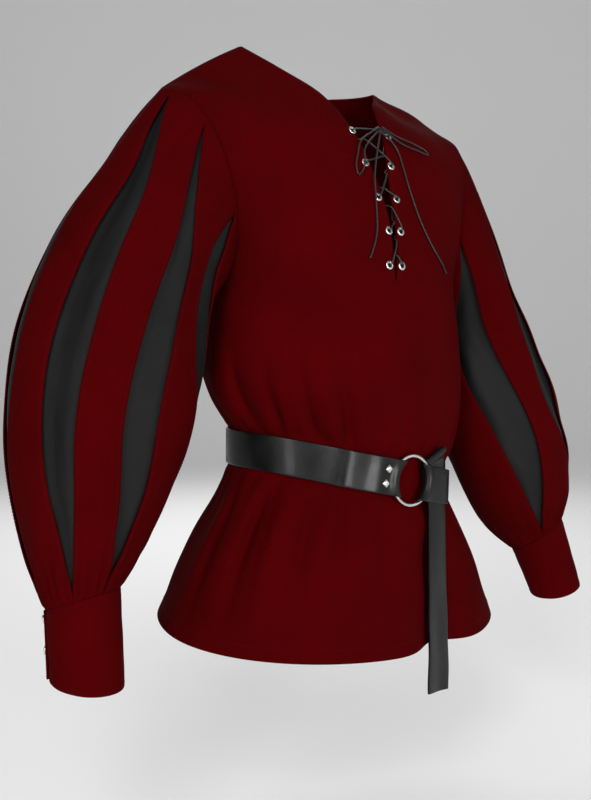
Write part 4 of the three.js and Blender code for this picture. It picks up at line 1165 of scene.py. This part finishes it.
# The strap's course: angle, height over leather that lies on the cloth, and how it hugs the round wire.
STRAP = [
    (-26, 0, 0),
    (-17, 0, 0),
    (-9, 0.4, 0.3),
    *fold_round(*WIRE_NEAR, 1),
    (-5.2, 2 * PLY + 1, 0.5),
    (-6.4, 2 * PLY, 0.2),
    (-10.8, 2 * PLY, 0),
    (-17, PLY + 0.6, 0),
    (-26, PLY, 0),
    (-30, 1, 0),
    *[((-3 - k) * 11.25, 0, 0) for k in range(26)],
    (38 - 360, 0.6, 0),
    (34.2 - 360, PLY, 0),
    (30 - 360, PLY + 0.1, 0),
    (25.8 - 360, PLY, 0),
    (21.8 - 360, PLY, -0.2),
    *fold_round(WIRE_FAR[0] - 360, WIRE_FAR[1], -1),
    (18.6 - 360, 3 * PLY + 1.4, -0.5),
    (21.8 - 360, 3 * PLY + 0.8, -0.2),
    (25.8 - 360, 3 * PLY + 0.7, 0),
    (30 - 360, 3 * PLY + 0.8, 0),
    (34.2 - 360, 3 * PLY + 0.4, 0),
    (36.6 - 360, 3 * PLY - 1, 0),
]

wire_near, wire_far = belt_point(*WIRE_NEAR), belt_point(*WIRE_FAR)
ring_radius = float(np.linalg.norm(wire_far - wire_near)) / 2
ACROSS_BELT = np.linspace(-1, 1, 13)
HUG_DIP = 0.11  # how far the leather dips where it bows round the ring


def along_course(course, line, step):
    """A smooth course sampled about `step` apart, as measured along a line: places, values, stops."""
    span = np.linalg.norm(np.diff(line, axis=0), axis=-1)
    at = np.concatenate([[0], np.cumsum(span)])
    counts = [max(2, math.ceil(length / step)) for length in span]
    parts = [np.linspace(at[i], at[i + 1], count, endpoint=False) for i, count in enumerate(counts)]
    places = np.concatenate(parts + [at[-1:]])
    return places, track(at, course)(places), at


def strap_sheet():
    course = np.array(STRAP, float)
    angle, out, hug = along_course(course, course * (MM_PER_DEGREE, 1, 2), 2.2)[1].T
    rise = ACROSS_BELT[:, None] * BELT_WIDTH / 2
    bow = ring_radius - np.sqrt(ring_radius**2 - rise**2)
    give = ripple(angle / 14, rise / 30, 41) * 0.35
    out = ON_CLOTH + out - np.abs(hug) * bow * HUG_DIP + give
    return Sheet(belt_point(angle + hug * bow / MM_PER_DEGREE, out, rise))


strap = soften(shell("belt_strap_leather", [strap_sheet()], LEATHER, belt_leather), 0.8)
dress(strap, "belt_leather", "belt_strap")

facing = np.cross(unit(wire_far - wire_near), [0, 0, 1])
wire = [
    (ring_radius + RING_WIRE * math.cos(a), RING_WIRE * math.sin(a))
    for a in np.linspace(0, 2 * math.pi, 24, endpoint=False)
]
ring = lathe("belt_ring_metal", wire, nickel_plate, (wire_near + wire_far) / 2, facing, segments=144)
dress(ring, "plated_steel", "belt_ring")

BELT_STUDS = ((-7.6, 8), (-7.8, -8))  # angle and rise
STUD_RADII, STUD_HEIGHT = (6.2, 3.6), 2.6  # at the base and the flat top
STUD_GAP = 0.1  # off the leather
for k, (angle, rise) in enumerate(BELT_STUDS):
    out = ON_CLOTH + 2 * PLY + LEATHER / 2
    base = belt_point(angle, out, rise)
    place = standing(base, belt_point(angle, out + 5, rise) - base)
    place = place @ Matrix.Translation((0, 0, (STUD_HEIGHT / 2 + STUD_GAP) * MM))
    stud = plugs(f"belt_stud_{k + 1}_metal", 4, STUD_RADII, STUD_HEIGHT, [place])
    stud.data.materials.append(nickel_plate)
    dress(soften(stud, 1.1), "plated_steel", f"belt_stud_{k + 1}")

# The free end comes up behind the belt, over its top edge, down under the wrap, and hangs.
TAIL_ANGLE, TAIL_HALF = 25.6, 8.2
FOLD_LEAN, FOLD_NARROW = 4.5, 0.3  # how far the fold leans to the right side, and its narrowing
FOLD_LOW, FOLD_HIGH, TAIL_FOOT = -490, -476, -754
TAIL_SWAY = np.array([-18, -20, 0])  # how far the free end's foot hangs from its root
TAIL_TURN = 2  # how far its left edge swings out
TAIL_START, TAIL_RISE, TAIL_UNDER = -524, -503, -532  # behind the belt, at its top, under the wrap
TAIL_ROOT = -554  # where it leaves the wrap
FOOT_SLANT = 2.5  # how much lower its far corner hangs
HANG_STEPS = 5
BLOUSE_FROM, BLOUSE_SLOPE = -494, 0.6  # the cloth's rise above the belt


def tail_column(side):
    """One line along the belt's free end, at a place from -1 to 1 across it."""
    angle = TAIL_ANGLE + side * TAIL_HALF
    top = mix(FOLD_LOW, FOLD_HIGH, (side + 1) / 2)
    inner, outer = ON_CLOTH, ON_CLOTH + 2 * PLY + 0.2
    bend = (outer - inner) / 2
    half_way = mix(TAIL_RISE, top, 0.5)
    turns = np.radians([0, 45, 90, 135, 180])
    over = [(top - bend + bend * math.sin(a), inner + bend - bend * math.cos(a)) for a in turns]
    stops = [(TAIL_START, inner), (TAIL_RISE, inner), (half_way, inner), *over]
    stops += [(half_way, outer), (TAIL_RISE, outer), (TAIL_UNDER, outer), (TAIL_ROOT, outer + 1)]
    points = []
    for z, out in stops:
        risen = smooth(z, TAIL_RISE - 2, FOLD_HIGH)
        leant = mix(angle, TAIL_ANGLE + side * TAIL_HALF * (1 - FOLD_NARROW) - FOLD_LEAN, risen)
        p = belt_point(leant, out + max(0, z - BLOUSE_FROM) * BLOUSE_SLOPE)
        points.append([p[0], p[1], z])
    root = np.array(points[-1])
    for f in np.linspace(0, 1, HANG_STEPS + 1)[1:]:
        hang = root + TAIL_SWAY * f
        hang[1] -= side * TAIL_TURN * f
        hang[2] = mix(TAIL_ROOT, TAIL_FOOT - FOOT_SLANT * side, f)
        points.append(hang)
    return np.array(points)


def tail_sheet():
    columns = np.stack([tail_column(side) for side in ACROSS_BELT], 1)
    places, points, at = along_course(columns, columns[:, len(ACROSS_BELT) // 2], 2.5)
    hanging = smooth(places, at[-1 - HANG_STEPS], at[-1])[:, None]
    give = ripple(places[:, None] / 30, ACROSS_BELT, 43) * 1.6
    return Sheet(points).push(hanging * (give - ACROSS_BELT**2 * 1.2))


tail = soften(shell("belt_tail_leather", [tail_sheet()], LEATHER, belt_leather), 0.8)
dress(tail, "belt_leather", "belt_tail")

# ---------------------------------------------------------------- stitching


def stitch_tree():
    """Geometry Nodes: short stitches along the edges of a mesh, as real geometry."""
    tree = bpy.data.node_groups.new("stitches", "GeometryNodeTree")
    face = tree.interface
    face.new_socket("Geometry", in_out="INPUT", socket_type="NodeSocketGeometry")
    for name, value in (("Spacing", 0.0034), ("Stitch Length", 0.0024), ("Thread Radius", 0.00028)):
        face.new_socket(name, in_out="INPUT", socket_type="NodeSocketFloat").default_value = value
    face.new_socket("Thread", in_out="INPUT", socket_type="NodeSocketMaterial")
    face.new_socket("Geometry", in_out="OUTPUT", socket_type="NodeSocketGeometry")
    given = node(tree, "NodeGroupInput").outputs
    curve = node(tree, "GeometryNodeMeshToCurve", {"Mesh": given["Geometry"]}).outputs["Curve"]
    inputs = {"Curve": curve, "Length": given["Spacing"]}
    even = node(tree, "GeometryNodeResampleCurve", inputs, mode="LENGTH").outputs["Curve"]
    tangent = node(tree, "GeometryNodeInputTangent").outputs["Tangent"]
    aim = node(tree, "FunctionNodeAlignRotationToVector", {"Vector": tangent}, axis="Z")
    half = maths(tree, "DIVIDE", given["Stitch Length"], 2.0)
    thin = given["Thread Radius"]
    size = node(tree, "ShaderNodeCombineXYZ", {"X": thin, "Y": thin, "Z": half}).outputs["Vector"]
    bead = node(tree, "GeometryNodeMeshIcoSphere", {"Radius": 1.0, "Subdivisions": 2}).outputs["Mesh"]
    inputs = {"Points": even, "Instance": bead, "Rotation": aim.outputs["Rotation"], "Scale": size}
    placed = node(tree, "GeometryNodeInstanceOnPoints", inputs)
    real = node(tree, "GeometryNodeRealizeInstances", {"Geometry": placed.outputs["Instances"]})
    smoothed = node(tree, "GeometryNodeSetShadeSmooth", {"Geometry": real.outputs["Geometry"]})
    inputs = {"Geometry": smoothed.outputs[0], "Material": given["Thread"]}
    threaded = node(tree, "GeometryNodeSetMaterial", inputs)
    node(tree, "NodeGroupOutput", {"Geometry": threaded.outputs[0]})
    return tree


stitches = stitch_tree()


def stitched(name, lines, **sizes):
    """Rows of stitches along lines of points, as one plain mesh."""
    points = np.concatenate(lines)
    starts = np.cumsum([0] + [len(line) for line in lines])
    edges = [(k, k + 1) for start, end in zip(starts, starts[1:]) for k in range(start, end - 1)]
    mesh = bpy.data.meshes.new(name)
    mesh.from_pydata((points * MM).tolist(), edges, [])
    piece = added(name, mesh)
    worker = piece.modifiers.new("stitches", "NODES")
    worker.node_group = stitches
    sockets = {item.name: item.identifier for item in stitches.interface.items_tree if item.in_out == "INPUT"}
    worker[sockets["Thread"]] = sewing_thread
    for label, value in sizes.items():
        worker[sockets[label.replace("_", " ").title()]] = value
    apply_modifiers(piece)
    dress(piece, "red_twill")


def lifted(sheet, rows, columns, wall=CLOTH):
    """Points of a sheet's outer skin, a thread's half thickness above it."""
    return sheet.p[rows, columns] + sheet.n[rows, columns] * (wall / 2 + 0.12)


def at_distance(distance, along, skin):
    return [np.interp(distance, along, skin[:, axis]) for axis in range(3)]


def hem_line(sheet, distance):
    """A row of points a given way up from a sheet's first row."""
    skins = [lifted(sheet, slice(None), c) for c in range(sheet.p.shape[1])]
    return np.array([at_distance(distance, sheet.uv[:, c, 1], skin) for c, skin in enumerate(skins)])


def inset_line(sheet, rows, distance, wall=CLOTH):
    """A line of points a given way in from a sheet's first column."""
    skins = [lifted(sheet, row, slice(None), wall) for row in rows]
    return np.array([at_distance(distance, sheet.uv[row, :, 0], skin) for row, skin in zip(rows, skins)])


HEM_SEAM, NECK_SEAM, CUFF_SEAM, SLASH_SEAM = 14, 4.5, 4, 3  # from the edge
hem_lines = [hem_line(sheet, HEM_SEAM) for sheet in front_halves + back_halves]
panels = ((front_halves, front_split), (back_halves, back_split))
neck_lines = [
    inset_line(sheet, np.flatnonzero(body_height > split), NECK_SEAM)
    for halves, split in panels
    for sheet in halves
]
stitched("hem_stitches", hem_lines)
stitched("neckline_stitches", neck_lines, spacing=0.003, stitch_length=0.0022)
for side, word in SIDES:
    sheet = cuff_sheets[side]
    last = len(sheet.p) - 1
    lines = [lifted(sheet, round(edge * last), slice(1, -14), CUFF_WALL) for edge in (0.06, 0.94)]
    lines.append(inset_line(sheet, range(2, last - 1), CUFF_SEAM, CUFF_WALL))
    stitched(f"cuff_{word}_stitches", lines)
    open_rows = range(10, len(sleeve_rows) - 10)
    lines = []
    for strip in sleeve_strip_sheets[side]:
        mirrored = Sheet(strip.p[:, ::-1], -strip.outward)
        lines += [inset_line(sheet, open_rows, SLASH_SEAM) for sheet in (strip, mirrored)]
    stitched(f"sleeve_{word}_stitches", lines)

# ---------------------------------------------------------------- names for each side's sleeve and cuff cloth, which nothing uses


for side, word in SIDES:
    sleeve, cuff = f"sleeve_{word}_cloth", f"cuff_{word}_cloth"

# ---------------------------------------------------------------- studio


def soft_light(name, place, aim, size, power):
    light = bpy.data.lights.new(name, "AREA")
    light.shape, light.size, light.size_y = "RECTANGLE", *size
    light.energy = power
    lamp = added(name, light)
    lamp.location = place
    lamp.rotation_euler = (Vector(aim) - Vector(place)).to_track_quat("-Z", "Y").to_euler()


MIDDLE, WAIST = (0, 0, -0.38), (0, 0, -0.5)
soft_light("key", (-1.7, -1.5, 0.9), MIDDLE, (0.9, 1.1), 26)
soft_light("fill", (1.3, -2.0, 0.0), MIDDLE, (1.6, 1.6), 7)
soft_light("rim", (0.9, 1.6, 0.8), MIDDLE, (1.6, 1.6), 26)
soft_light("strip_right", (-1.75, -1.3, -0.4), WAIST, (0.35, 1.3), 13)
soft_light("strip_left", (-0.2, -2.3, -0.4), WAIST, (0.5, 1.3), 34)

world = bpy.data.worlds.new("studio")
world.use_nodes = True
sky = world.node_tree.nodes["Background"]
sky.inputs["Color"].default_value = linear("#e6e6e6")
sky.inputs["Strength"].default_value = 0.5
bpy.context.scene.world = world
bpy.context.scene.view_settings.view_transform = "Standard"

# A plain pale sweep: a floor that curves up into a wall behind the shirt.
FLOOR_LEVEL, FLOOR_FRONT, WALL_TOP = -0.9, -6.0, 9.0
SWEEP_RADIUS, SWEEP_BACK, SWEEP_HALF = 2.0, 2.6, 14
behind = Vector((CAMERA_AIM.x, CAMERA_AIM.y, 0)).normalized()
beside = Vector((behind.y, -behind.x, 0))
bend = [math.radians(4.5 * k) for k in range(21)]
curved = [(SWEEP_BACK + SWEEP_RADIUS * math.sin(a), SWEEP_RADIUS * (1 - math.cos(a))) for a in bend]
section = [(FLOOR_FRONT, 0.0), *curved, (SWEEP_BACK + SWEEP_RADIUS, WALL_TOP)]
sweep = [
    behind * back + beside * way + Vector((0, 0, FLOOR_LEVEL + up))
    for back, up in section
    for way in (-SWEEP_HALF, SWEEP_HALF)
]
floor_mesh = bpy.data.meshes.new("floor")
floor_mesh.from_pydata(sweep, [], [(k, k + 1, k + 3, k + 2) for k in range(0, len(sweep) - 2, 2)])
floor_mesh.shade_smooth()
# Pale grey background paper.
paper_surface = {"Base Color": linear("#ececec"), "Roughness": 0.95}
floor_mesh.materials.append(new_material("background_paper", paper_surface)[0])
floor = added("floor", floor_mesh)
